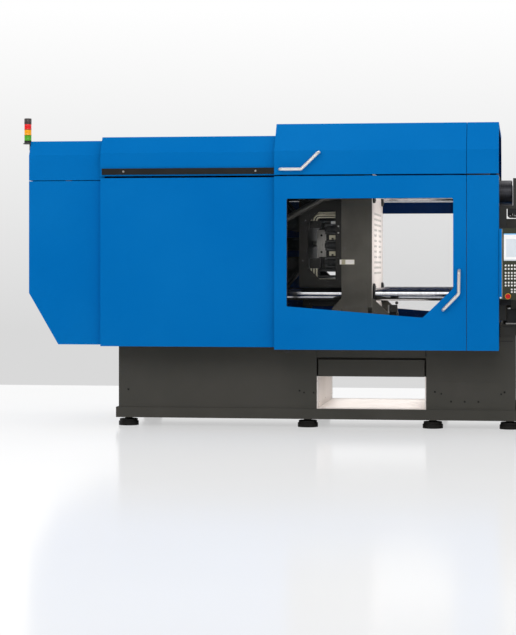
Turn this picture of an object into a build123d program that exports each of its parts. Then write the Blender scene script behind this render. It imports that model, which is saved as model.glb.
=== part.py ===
from build123d import *
import os
from math import acos, cos, degrees, radians, sin

# Injection moulding machine with a double-toggle clamp on the left and its injection unit on the right.
# Millimetres. X runs along the machine towards the injection end, Y to the rear, Z up from the floor.

os.makedirs("parts", exist_ok=True)

# Overall layout
machine_end_x = 4005
running_gap = 0.3
fit_gap = 0.1
pin_gap = 0.05
sheet = 3
seam = 4
edge_round = 4

# Base
foot_diameter = 166
foot_pad_height = 36
foot_pad_round = 6
foot_cap_diameter = 150
foot_cap_height = 18
foot_cap_round = 4
foot_screw_diameter = 42
foot_nut_across = 64
foot_nut_height = 12
foot_height = 69
foot_row_y = 520
clamp_foot_stations = (-3183, -1685, -661, -38)
injection_foot_stations = (1180, 2480, 3780)
beam_left_x = -3273
beam_height = 85
beam_width = 130
beam_proud = 10
cross_beam_width = 120
bed_left_x = -3251
bed_half_width = 600
bed_split_x = 8
bed_split_gap = 17
ledge_left_x = -116
clamp_bed_top = 760
injection_bed_top = 850
panel_thickness = 4
panel_top_margin = 12
injection_panel_count = 4

# Drop-out passage through the clamp bed
passage_left_x = -1597
passage_right_x = -718
passage_height = 265
drop_left_x = -1140
drop_right_x = -450
drop_half_width = 390
drop_throat_x = -745
liner_thickness = 3
liner_flange = 6
apron_height = 137
apron_slot = 17
apron_overhang = 7
apron_slot_depth = 60

# Platens
platen_half_width = 590
platen_margin_low = 150
platen_margin_high = 156
platen_chamfer = 45
pad_half_width = 390
pad_half_height = 330
pad_proud = 2
tie_bar_diameter = 105
tie_bar_y = 460
tie_bar_rise = 417
tie_bar_stub = 16
tie_bar_nut_diameter = 186
tie_bar_nut_length = 111
tie_bar_nut_chamfer = 6
fixed_platen_face_x = -430
fixed_platen_thickness = 300
nozzle_bore = 205
nozzle_cone_diameter = 430
nozzle_cone_depth = 150
ring_recess_diameter = 175
ring_recess_depth = 10
platen_foot_inner_y = 405
platen_foot_rib = 60
mould_open = 720
moving_plate_thickness = 252
rib_box_length = 348
rib_box_half_height = 345
rib_box_wall = 55
side_hole_left = 70
side_hole_right = 49
side_hole_high = 261
side_hole_low = 293
side_hole_cut = 92
core_ring_diameter = 500
core_ring_bore = 450
core_ring_length = 50
shoe_height = 143
shoe_overrun_back = 88
shoe_overrun_front = 140
shoe_inner_y = 520
shoe_gusset_rise = 120
shoe_gusset_inset = 14
shoe_toe_height = 38
shoe_plate_thickness = 10
shoe_plate_rise = 253
shoe_plate_inset = 36
shoe_plate_setback = 4
shoe_plate_chamfer = 30
switch_length = 57
switch_width = 45
switch_rise = 61
switch_drop = 68
rail_height = 35
rail_width = 45
rail_y = 555
platen_rail_start_x = -1700
end_platen_back_x = -3100
end_plate_thickness = 210
end_platen_depth = 332
end_rib_width = 90

# Toggle
link_length = 620
pivot_rise = 170
closed_angle = 3
stroke = 420
lug_reach = 100
cross_radius = 280
cross_offset_angle = 30
knee_pin_diameter = 96
main_pin_diameter = 90
cross_pin_diameter = 54
knee_eye = 80
main_eye = 62
cross_eye = 47
cross_link_half = 34
cheek_thickness = 20
link_plate_inner = 120
link_plate_outer = 180
link_play = 2
front_plate_inner = 60
front_plate_outer = 240
lug_width_outer = 290
crosshead_half_length = 60
crosshead_half_height = 80
crosshead_wing = 262
guide_rod_diameter = 50
guide_rod_y = 215
guide_rod_end_x = -2070
cylinder_length = 500
cylinder_diameter = 190
cylinder_bore = 125
cylinder_cap = 30
cylinder_flange = 250
cylinder_flange_length = 40
clamp_rod_diameter = 70
piston_length = 60
rod_end_margin = 5

# Ejector
ejector_plate_back = 104
ejector_plate_thickness = 75
ejector_plate_half_width = 180
ejector_plate_half_height = 116
ejector_plate_hole = 46
ejector_plate_hole_y = 100
ejector_rod_diameter = 30
ejector_rod_y = 140
ejector_rod_rise = 70
ejector_rod_setback = 20
ejector_cylinder_diameter = 110
ejector_cylinder_length = 180
ejector_piston_rod = 45
valve_bar_half_height = 190
valve_bar_width = 60
valve_bar_y = 520
coil_length = 91
coil_heights = (116, -18, -156)
coil_size = 82
coil_width = 54
connector_heights = (49, -84)
connector_size = 36
connector_length = 58
valve_hose_diameter = 22
valve_hose_round = 24
valve_hose_turn_x = -1640
valve_hose_upper_rises = (178, 262)
valve_hose_lower_rises = (-222, -272)
valve_hose_foot_x = -1426
conduit_diameter = 50
conduit_tail_x = -1960
conduit_tail_rise = 140
conduit_head_x = -1545
conduit_head_rise = 368
conduit_rise = 12

# Guards, each a folded sheet, with the same form at the front and the rear
door_face = 1000
door_depth = 40
door_left_x = -1902
door_right_x = -376
door_bed_overlap = 107
door_top_drop = 42
window_left_x = -1803
window_right_x = -479
window_top_margin = 179
window_low_drop = 508
window_corner_x = -720
window_corner_drop = 594
window_right_drop = 362
window_radius = 14
pane_overlap = 24
pane_thickness = 8
pane_rim = 12
pane_rim_depth = 14
blind_drop = 72
blind_overlap = 20
handle_diameter = 26
handle_standoff = 45
door_handle_top = (-431, -220)
door_handle_knee = (-434, -405)
door_handle_toe = (-557, -532)
hood_gap = 12
hood_bend_rise = 161
hood_slope_rise = 224
hood_setback = 154
hood_return = 34
hood_handle_back = (-1854, -150)
hood_handle_knee = (-1681, -150)
hood_handle_front = (-1541, -16)
column_right_x = -122
column_bracket_height = 40
column_bracket_low_drop = 605
column_bracket_high_rise = 215
mid_face = 930
mid_left_x = -3333
mid_right_x = -1870
mid_bed_overlap = 91
mid_top_drop = 47
mid_hood_drop = 31
mid_hood_bend_rise = 157
mid_hood_slope_rise = 133
mid_hood_setback = 78
mid_return = 24
end_face = 860
end_left_x = -3945
end_bed_overlap = 81
end_top_drop = 65
end_seam = 6
end_bend_rise = 146
end_slope_rise = 119
end_setback = 73
end_corner_drop = 407
end_corner_x = -3700
end_overlap = 22
hood_rail_drop = 20
hood_rail_height = 50
hood_rail_thickness = 12
hood_rail_inset = 14
door_rail_drop = 8
door_rail_height = 43
door_rail_depth = 32
door_rail_setback = 8
arm_thickness = 6
arm_reach = 16
arm_width = 90
arm_stations = (-1760, -1140, -520)
glide_height = 22
glide_width = 70
post_size = 40
post_width = 50
outrigger_drop = 20
outrigger_height = 40
post_stations = (-3290, -2560, -1835, -405, -165)
end_post_x = -3640
guide_shoe_inset = 85
guide_shoe_height = 24
guide_shoe_width = 40
guide_shoe_thickness = 12

# Signal light
light_diameter = 60
light_y = 780
light_sink = 15
light_base_height = 20
lens_height = 46
lens_count = 3
lens_inset = 1
cap_height = 47
light_bracket_thickness = 8
light_bracket_width = 70
light_bracket_drop = 60

# Control panel
panel_left_x = -118
panel_width = 382
panel_drop = 450
panel_height = 561
panel_face = 1010
panel_depth = 110
panel_corner = 14
display_inset_x = 36
display_width = 310
display_high = 41
display_height = 214
display_thickness = 4
stop_x = -50
stop_rise = 27
stop_collar_diameter = 42
stop_stem_diameter = 20
stop_head_diameter = 40
stop_head_height = 16
stop_travel = 6
stop_plate = 44
stop_plate_thickness = 2
panel_post_y = 870
panel_post_diameter = 60
panel_post_rise = 300
arm_beam_height = 57
arm_beam_width = 98

# Service box beside the fixed platen
service_bar_left_x = -190
service_bar_right_x = -63
service_bar_thickness = 50
service_bar_drop = 625
service_shelf_rise = 275
service_shelf_height = 26
service_box_left_x = -12
service_box_length = 150
service_box_height = 220
service_box_depth = 200
service_hose_diameter = 16
service_hose_drop = 66
service_hose_span = 42
service_hose_left_x = -48
service_hose_pitch = 24

# Injection unit
carriage_back_x = 3350
carriage_front_x = 1350
carriage_half_width = 420
carriage_base_height = 74
feed_housing_x = 1400
feed_housing_length = 350
feed_housing_half_width = 380
feed_housing_half_height = 230
pedestal_half_width = 150
rear_plate_x = 3050
rear_plate_thickness = 80
drive_rod_diameter = 70
drive_rod_y = 300
drive_block_x = 2300
drive_block_length = 350
drive_block_half_height = 240
drive_travel = 300
motor_diameter = 260
motor_length = 300
motor_fin_count = 6
motor_fin_depth = 10
motor_fin_width = 24
injection_rail_y = 330
injection_rail_start_x = 160
injection_rail_end_x = 3700
barrel_diameter = 150
barrel_bore = 60
barrel_start_x = 20
nozzle_tip_x = -150
nozzle_base_diameter = 120
nozzle_tip_diameter = 36
nozzle_bore_small = 14
nozzle_shank = 70
band_count = 6
band_length = 160
band_thickness = 22
band_pitch = 215
screw_diameter = 59
screw_tip_length = 60
screw_end_gap = 5
screw_coupling_diameter = 110
screw_coupling_length = 110
hopper_x = 1560
hopper_throat = 120
hopper_mouth = 620
hopper_wall = 3
hopper_neck_height = 130
hopper_cone_height = 330
hopper_cylinder_height = 240
hopper_flange = 190
hopper_flange_height = 20
hopper_rim = 14
hopper_rim_height = 20
purge_left_x = -115
purge_right_x = 480
purge_half_width = 260
purge_rise = 200
purge_drop = 205
purge_slot_corner = 70
purge_hinge_x = -92
purge_hinge_diameter = 16
purge_lug_width = 30
purge_knuckle_diameter = 28

# Heights worked out from the stack of the base and the platens
bed_bottom = foot_height + beam_height
rail_top = clamp_bed_top + rail_height
platen_low_z = rail_top + shoe_height
axis_height = platen_low_z + platen_margin_low + tie_bar_rise
platen_high_z = axis_height + tie_bar_rise + platen_margin_high
injection_rail_top = injection_bed_top + rail_height
clamp_bed_right_x = bed_split_x
injection_bed_left_x = bed_split_x + bed_split_gap
passage_high_z = bed_bottom + passage_height

# Heights of the guards: lower edges hang over the bed, upper edges follow the platens' top
door_low_z = clamp_bed_top - door_bed_overlap
mid_low_z = clamp_bed_top - mid_bed_overlap
end_low_z = clamp_bed_top - end_bed_overlap
outrigger_high_z = clamp_bed_top - outrigger_drop
outrigger_low_z = outrigger_high_z - outrigger_height
door_high_z = platen_high_z - door_top_drop
mid_high_z = platen_high_z - mid_top_drop
mid_hood_low_z = platen_high_z - mid_hood_drop
end_high_z = platen_high_z - end_top_drop
end_upper_low_z = end_high_z + end_seam
hood_bend_z = platen_high_z + hood_bend_rise
hood_top_z = hood_bend_z + hood_slope_rise
mid_hood_bend_z = platen_high_z + mid_hood_bend_rise
mid_hood_top_z = mid_hood_bend_z + mid_hood_slope_rise
end_bend_z = platen_high_z + end_bend_rise
end_top_z = end_bend_z + end_slope_rise
end_corner_z = axis_height - end_corner_drop
hood_rail_low_z = platen_high_z - hood_rail_drop
door_rail_high_z = door_high_z - door_rail_drop
door_rail_low_z = door_rail_high_z - door_rail_height
window_high_z = door_high_z - window_top_margin
window_right_z = axis_height - window_right_drop
window_low_z = axis_height - window_low_drop
window_corner_z = axis_height - window_corner_drop
light_low_z = end_top_z - light_sink
column_bracket_heights = (axis_height - column_bracket_low_drop, axis_height + column_bracket_high_rise)

# Heights of the panel, the service box, the conduit and the purge guard, from the axis of the machine
panel_low_z = axis_height - panel_drop
panel_high_z = panel_low_z + panel_height
stop_z = panel_low_z + stop_rise
service_bar_low_z = axis_height - service_bar_drop
service_shelf_z = axis_height + service_shelf_rise
conduit_tail_z = axis_height + conduit_tail_rise
conduit_head_z = axis_height + conduit_head_rise
purge_high_z = axis_height + purge_rise
purge_low_z = axis_height - purge_drop

# Platen stations, with the clamp fully open at rest
fixed_platen_back_x = fixed_platen_face_x + fixed_platen_thickness
moving_face_x = fixed_platen_face_x - mould_open
moving_plate_back_x = moving_face_x - moving_plate_thickness
rib_box_back_x = moving_plate_back_x - rib_box_length
platen_pin_x = rib_box_back_x - lug_reach
end_platen_face_x = end_platen_back_x + end_platen_depth
tie_bar_spots = [(y, z) for y in (-tie_bar_y, tie_bar_y)
                 for z in (axis_height - tie_bar_rise, axis_height + tie_bar_rise)]

# Toggle geometry: equal links, so a turn of the rear link sets every other pivot
closed_span = 2 * link_length * cos(radians(closed_angle))
open_span = closed_span - stroke
open_angle = degrees(acos(open_span / (2 * link_length)))
end_pin_x = platen_pin_x - open_span
knee_dx = link_length * cos(radians(open_angle))
knee_dz = link_length * sin(radians(open_angle))
cross_angle = open_angle + cross_offset_angle
cross_dx = cross_radius * cos(radians(cross_angle))
cross_dz = cross_radius * sin(radians(cross_angle))
crosshead_x = end_pin_x + 2 * cross_dx
closed_cross_dx = cross_radius * cos(radians(closed_angle + cross_offset_angle))
crosshead_travel = 2 * (closed_cross_dx - cross_dx)
print("toggle fold in degrees", round(open_angle - closed_angle, 4))
print("end pin x", round(end_pin_x, 3), "crosshead x", round(crosshead_x, 3))
print("crosshead travel", round(crosshead_travel, 3))


def facing_rear(y):
    """A sketch plane at depth y whose sketch axes are X and Z and whose solids grow towards the front."""
    return Plane.XZ.offset(-y)


def wall(corners, low_y, high_y, mode=Mode.ADD):
    """A plate between two depths, from its X and Z corners."""
    with BuildSketch(facing_rear(high_y)) as profile:
        with BuildLine():
            Polyline(*corners, close=True)
        make_face()
    extrude(profile.sketch, amount=high_y - low_y, mode=mode)


def slab(low, high, mode=Mode.ADD):
    """A rectangular block between two opposite corners."""
    size = [high[i] - low[i] for i in range(3)]
    with Locations(tuple(low)):
        Box(*size, align=(Align.MIN, Align.MIN, Align.MIN), mode=mode)


def rod(start, length, diameter, mode=Mode.ADD):
    """A round bar along X from its left end."""
    with Locations(Plane(origin=start, x_dir=(0, 1, 0), z_dir=(1, 0, 0))):
        Cylinder(diameter / 2, length, align=(Align.CENTER, Align.CENTER, Align.MIN), mode=mode)


def post(foot, length, diameter, mode=Mode.ADD):
    """A round upright from its lower end."""
    with Locations(tuple(foot)):
        Cylinder(diameter / 2, length, align=(Align.CENTER, Align.CENTER, Align.MIN), mode=mode)


def pin(x, z, half_length, diameter, mode=Mode.ADD):
    """A round pin across the machine, centred on the axis plane."""
    with BuildSketch(facing_rear(half_length)) as profile:
        with Locations((x, z)):
            Circle(diameter / 2)
    extrude(profile.sketch, amount=2 * half_length, mode=mode)


def hose(points, diameter, radius):
    """A held hose along straight runs joined by arcs, from its first point to its last."""
    with BuildLine() as path:
        FilletPolyline(*points, radius=radius)
    with BuildSketch(Plane(origin=points[0], z_dir=path.line % 0)) as section:
        Circle(diameter / 2)
    sweep(section.sketch, path=path.line)


def link_plate(low_y, high_y, eyes):
    """A link plate round its eyes, each given as x, z, eye radius and bore diameter."""
    with BuildSketch(facing_rear(high_y)) as profile:
        for x, z, radius, bore in eyes:
            with Locations((x, z)):
                Circle(radius)
        make_hull()
        for x, z, radius, bore in eyes:
            with Locations((x, z)):
                Circle(bore / 2, mode=Mode.SUBTRACT)
    extrude(profile.sketch, amount=high_y - low_y)


def relieve_corners(low_x, low_z):
    """Cuts back a mould face round its tie bars, so that its cross-shaped mounting pad stands proud."""
    corner_heights = (
        (low_z, axis_height - pad_half_height),
        (axis_height + pad_half_height, platen_high_z),
    )
    for side in (-1, 1):
        corner_ys = sorted((side * pad_half_width, side * platen_half_width))
        for corner_zs in corner_heights:
            slab(
                (low_x, corner_ys[0], corner_zs[0]),
                (low_x + pad_proud, corner_ys[1], corner_zs[1]),
                mode=Mode.SUBTRACT,
            )


def arch(start_x, length, face, low_z, bend_z, top_z, setback, depth):
    """A folded sheet over the machine: up the front, leaning back, across the top and down the rear."""
    with BuildSketch(Plane.YZ.offset(start_x)) as profile:
        with BuildLine():
            Polyline(
                (-face, low_z),
                (-face, bend_z),
                (setback - face, top_z),
                (face - setback, top_z),
                (face, bend_z),
                (face, low_z),
            )
            offset(amount=depth, side=Side.RIGHT, kind=Kind.INTERSECTION)
        make_face()
    extrude(profile.sketch, amount=length)


# Base frame: two long box beams on the floor side and cross beams between them
beam_outer_y = bed_half_width + beam_proud
beam_inner_y = beam_outer_y - beam_width
cross_stations = clamp_foot_stations + injection_foot_stations
with BuildPart() as base_frame:
    for low_y in (-beam_outer_y, beam_inner_y):
        slab((beam_left_x, low_y, foot_height), (machine_end_x, low_y + beam_width, bed_bottom))
    for station in cross_stations:
        low_x = max(station - cross_beam_width / 2, beam_left_x)
        slab((low_x, -beam_inner_y, foot_height), (low_x + cross_beam_width, beam_inner_y, bed_bottom))
base_frame.part.label = "base_frame"
export_step(base_frame.part, "parts/base_frame.step")

# Levelling feet: turned pad with a cap over its cushion, lock nut and screw
foot_cap_high_z = foot_pad_height + foot_cap_height
with BuildPart() as levelling_feet:
    for station in clamp_foot_stations + injection_foot_stations:
        for foot_y in (-foot_row_y, foot_row_y):
            post((station, foot_y, 0), foot_pad_height, foot_diameter)
            post((station, foot_y, foot_pad_height), foot_cap_height, foot_cap_diameter)
            post((station, foot_y, foot_cap_high_z), foot_height - foot_cap_high_z, foot_screw_diameter)
            with BuildSketch(Plane.XY.offset(foot_height - foot_nut_height)):
                with Locations((station, foot_y)):
                    RegularPolygon(foot_nut_across / 2, 6)
            extrude(amount=foot_nut_height)
    for edge_diameter, edge_z, radius in (
        (foot_diameter, foot_pad_height, foot_pad_round),
        (foot_cap_diameter, foot_cap_high_z, foot_cap_round),
    ):
        rims = levelling_feet.edges().filter_by(GeomType.CIRCLE).filter_by_position(
            Axis.Z, edge_z - fit_gap, edge_z + fit_gap
        )
        fillet(rims.filter_by(lambda edge: abs(2 * edge.radius - edge_diameter) < fit_gap), radius)
levelling_feet.part.label = "levelling_feet"
export_step(levelling_feet.part, "parts/levelling_feet.step")

# Clamp bed: welded box with a passage right through, slots round the aprons over the passage's ends,
# and a sloping throat down from the mould space
bed_body_y = bed_half_width - panel_thickness
slot_floor_y = bed_body_y - apron_slot_depth
slot_left_x = passage_left_x - liner_flange
slot_right_x = passage_right_x + liner_flange
apron_left_x = passage_left_x + apron_overhang
apron_right_x = passage_right_x - apron_overhang
apron_low_z = passage_high_z
apron_high_z = apron_low_z + apron_height
strip_low_z = apron_high_z + apron_slot
with BuildPart() as clamp_bed:
    slab((bed_left_x, -bed_body_y, bed_bottom), (clamp_bed_right_x, bed_body_y, clamp_bed_top))
    slab(
        (passage_left_x, -bed_body_y, bed_bottom),
        (passage_right_x, bed_body_y, passage_high_z),
        mode=Mode.SUBTRACT,
    )
    for low_y, high_y in ((-bed_body_y, -slot_floor_y), (slot_floor_y, bed_body_y)):
        for left_x, right_x, low_z in (
            (slot_left_x, apron_left_x, apron_low_z),
            (apron_right_x, slot_right_x, apron_low_z),
            (slot_left_x, slot_right_x, apron_high_z),
        ):
            slab((left_x, low_y, low_z), (right_x, high_y, strip_low_z), mode=Mode.SUBTRACT)
    with BuildSketch(facing_rear(drop_half_width)):
        with BuildLine():
            Polyline(
                (drop_left_x, passage_high_z),
                (drop_throat_x, passage_high_z),
                (drop_right_x, clamp_bed_top),
                (drop_left_x, clamp_bed_top),
                close=True,
            )
        make_face()
    extrude(amount=2 * drop_half_width, mode=Mode.SUBTRACT)
clamp_bed.part.label = "clamp_bed"
export_step(clamp_bed.part, "parts/clamp_bed.step")

# Injection bed: the same box, higher, up to the machine's right end, with a ledge over the clamp bed
with BuildPart() as injection_bed:
    slab(
        (injection_bed_left_x, -bed_body_y, bed_bottom),
        (machine_end_x - panel_thickness, bed_body_y, injection_bed_top),
    )
    slab(
        (ledge_left_x, -bed_body_y, clamp_bed_top + running_gap),
        (injection_bed_left_x, bed_body_y, injection_bed_top),
    )
injection_bed.part.label = "injection_bed"
export_step(injection_bed.part, "parts/injection_bed.step")

# Bed panels: flat covers on the front and rear of both beds, with the aprons over the passage
clamp_panel_top = clamp_bed_top - panel_top_margin
injection_panel_top = injection_bed_top - panel_top_margin
panel_spans = [
    (bed_left_x, slot_left_x - seam, bed_bottom, clamp_panel_top),
    (slot_left_x, slot_right_x, strip_low_z, clamp_panel_top),
    (slot_right_x + seam, clamp_bed_right_x, bed_bottom, clamp_panel_top),
    (ledge_left_x, injection_bed_left_x - seam, clamp_bed_top + seam, injection_panel_top),
]
injection_panel_pitch = (machine_end_x - injection_bed_left_x + seam) / injection_panel_count
for index in range(injection_panel_count):
    span_x = injection_bed_left_x + index * injection_panel_pitch
    panel_spans.append((span_x, span_x + injection_panel_pitch - seam, bed_bottom, injection_panel_top))
with BuildPart() as bed_panels:
    for left_x, right_x, low_z, high_z in panel_spans:
        for low_y in (-bed_half_width, bed_body_y):
            slab((left_x, low_y, low_z), (right_x, low_y + panel_thickness, high_z))
    for low_y in (-bed_half_width, bed_body_y):
        slab(
            (apron_left_x, low_y, apron_low_z),
            (apron_right_x, low_y + panel_thickness, apron_high_z),
        )
    slab(
        (machine_end_x - panel_thickness, -bed_body_y, bed_bottom),
        (machine_end_x, bed_body_y, injection_panel_top),
    )
bed_panels.part.label = "bed_panels"
export_step(bed_panels.part, "parts/bed_panels.step")

# Passage liner: one folded sheet, two walls and a floor, with flanges turned out on the bed's faces
with BuildPart() as chute_liner:
    slab(
        (passage_left_x, -bed_body_y, bed_bottom),
        (passage_right_x, bed_body_y, passage_high_z),
    )
    slab(
        (passage_left_x + liner_thickness, -bed_body_y, bed_bottom + liner_thickness),
        (passage_right_x - liner_thickness, bed_body_y, passage_high_z),
        mode=Mode.SUBTRACT,
    )
    for low_y in (-bed_body_y - liner_thickness, bed_body_y):
        for left_x in (passage_left_x - liner_flange, passage_right_x):
            right_x = left_x + liner_flange
            slab((left_x, low_y, bed_bottom), (right_x, low_y + liner_thickness, passage_high_z))
        for left_x in (passage_left_x, passage_right_x - liner_thickness):
            right_x = left_x + liner_thickness
            slab((left_x, low_y, bed_bottom), (right_x, low_y + liner_thickness, passage_high_z))
chute_liner.part.label = "chute_liner"
export_step(chute_liner.part, "parts/chute_liner.step")

# Linear rails: one pair under the moving platen's shoes, one pair under the injection carriage
with BuildPart() as linear_rails:
    for row_y in (-rail_y, rail_y):
        slab(
            (platen_rail_start_x, row_y - rail_width / 2, clamp_bed_top),
            (fixed_platen_face_x, row_y + rail_width / 2, rail_top),
        )
    for row_y in (-injection_rail_y, injection_rail_y):
        slab(
            (injection_rail_start_x, row_y - rail_width / 2, injection_bed_top),
            (injection_rail_end_x, row_y + rail_width / 2, injection_rail_top),
        )
linear_rails.part.label = "linear_rails"
export_step(linear_rails.part, "parts/linear_rails.step")

# End platen: plate, corner bosses and crossed ribs behind it, feet on the bed, and pivot lugs in front
lug_spans = [
    (front_plate_inner, link_plate_inner - link_play),
    (link_plate_outer + link_play, front_plate_outer),
]
upper_pin_z = axis_height + pivot_rise
lower_pin_z = axis_height - pivot_rise
end_plate_back_x = end_platen_face_x - end_plate_thickness
with BuildPart() as end_platen:
    with BuildSketch(Plane.YZ.offset(end_plate_back_x)):
        with Locations((0, (platen_low_z + platen_high_z) / 2)):
            Rectangle(2 * platen_half_width, platen_high_z - platen_low_z)
    extrude(amount=end_plate_thickness)
    chamfer(end_platen.edges().filter_by(Axis.X), platen_chamfer)
    with BuildSketch(Plane.YZ.offset(end_platen_back_x)):
        with Locations(*tie_bar_spots):
            Circle(tie_bar_nut_diameter / 2)
        with Locations((0, axis_height)):
            Circle(cylinder_flange / 2)
            Rectangle(2 * tie_bar_y, end_rib_width)
            Rectangle(end_rib_width, 2 * tie_bar_rise)
    extrude(amount=end_plate_back_x - end_platen_back_x)
    for side in (-1, 1):
        foot_ys = sorted((side * platen_foot_inner_y, side * platen_half_width))
        slab(
            (end_plate_back_x, foot_ys[0], clamp_bed_top),
            (end_platen_face_x, foot_ys[1], platen_low_z + platen_chamfer),
        )
        for inner_y, outer_y in lug_spans:
            low_y, high_y = sorted((side * inner_y, side * outer_y))
            for pin_z in (upper_pin_z, lower_pin_z):
                with BuildSketch(facing_rear(high_y)):
                    with Locations((end_pin_x, pin_z)):
                        Circle(main_eye)
                    with Locations((end_platen_face_x, pin_z)):
                        Circle(main_eye)
                    make_hull()
                extrude(amount=high_y - low_y)
    with BuildSketch(Plane.YZ.offset(end_platen_back_x)):
        with Locations(*tie_bar_spots):
            Circle(tie_bar_diameter / 2 + fit_gap)
        with Locations((0, axis_height)):
            Circle(clamp_rod_diameter / 2 + running_gap)
    extrude(amount=end_platen_depth, mode=Mode.SUBTRACT)
    for pin_z in (upper_pin_z, lower_pin_z):
        with BuildSketch(facing_rear(front_plate_outer)):
            with Locations((end_pin_x, pin_z)):
                Circle(main_pin_diameter / 2 + fit_gap)
        extrude(amount=2 * front_plate_outer, mode=Mode.SUBTRACT)
    for side in (-1, 1):
        rod(
            (end_platen_face_x - end_plate_thickness, side * guide_rod_y, axis_height),
            end_plate_thickness,
            guide_rod_diameter + 2 * fit_gap,
            mode=Mode.SUBTRACT,
        )
end_platen.part.label = "end_platen"
export_step(end_platen.part, "parts/end_platen.step")

# Fixed platen: thick plate with the nozzle's bore and cone, the locating ring recess and feet on the bed
with BuildPart() as fixed_platen:
    with BuildSketch(Plane.YZ.offset(fixed_platen_face_x)):
        with Locations((0, (platen_low_z + platen_high_z) / 2)):
            Rectangle(2 * platen_half_width, platen_high_z - platen_low_z)
    extrude(amount=fixed_platen_thickness)
    chamfer(fixed_platen.edges().filter_by(Axis.X), platen_chamfer)
    for side in (-1, 1):
        foot_ys = sorted((side * platen_foot_inner_y, side * platen_half_width))
        slab(
            (fixed_platen_face_x, foot_ys[0], clamp_bed_top),
            (fixed_platen_back_x, foot_ys[1], platen_low_z + platen_chamfer),
        )
    slab(
        (fixed_platen_back_x - platen_foot_rib, -platen_foot_inner_y, clamp_bed_top),
        (fixed_platen_back_x, platen_foot_inner_y, platen_low_z),
    )
    with BuildSketch(Plane.YZ.offset(fixed_platen_face_x)):
        with Locations(*tie_bar_spots):
            Circle(tie_bar_diameter / 2 + fit_gap)
    extrude(amount=fixed_platen_thickness, mode=Mode.SUBTRACT)
    with BuildSketch(facing_rear(0)):
        with BuildLine():
            Polyline(
                (fixed_platen_face_x, axis_height),
                (fixed_platen_face_x, axis_height + ring_recess_diameter / 2),
                (fixed_platen_face_x + ring_recess_depth, axis_height + ring_recess_diameter / 2),
                (fixed_platen_face_x + ring_recess_depth, axis_height + nozzle_base_diameter / 2 + seam),
                (fixed_platen_back_x - nozzle_cone_depth, axis_height + nozzle_bore / 2),
                (fixed_platen_back_x, axis_height + nozzle_cone_diameter / 2),
                (fixed_platen_back_x, axis_height),
                close=True,
            )
        make_face()
    revolve(axis=Axis((0, 0, axis_height), (1, 0, 0)), mode=Mode.SUBTRACT)
    relieve_corners(fixed_platen_face_x, clamp_bed_top)
fixed_platen.part.label = "fixed_platen"
export_step(fixed_platen.part, "parts/fixed_platen.step")

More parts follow.
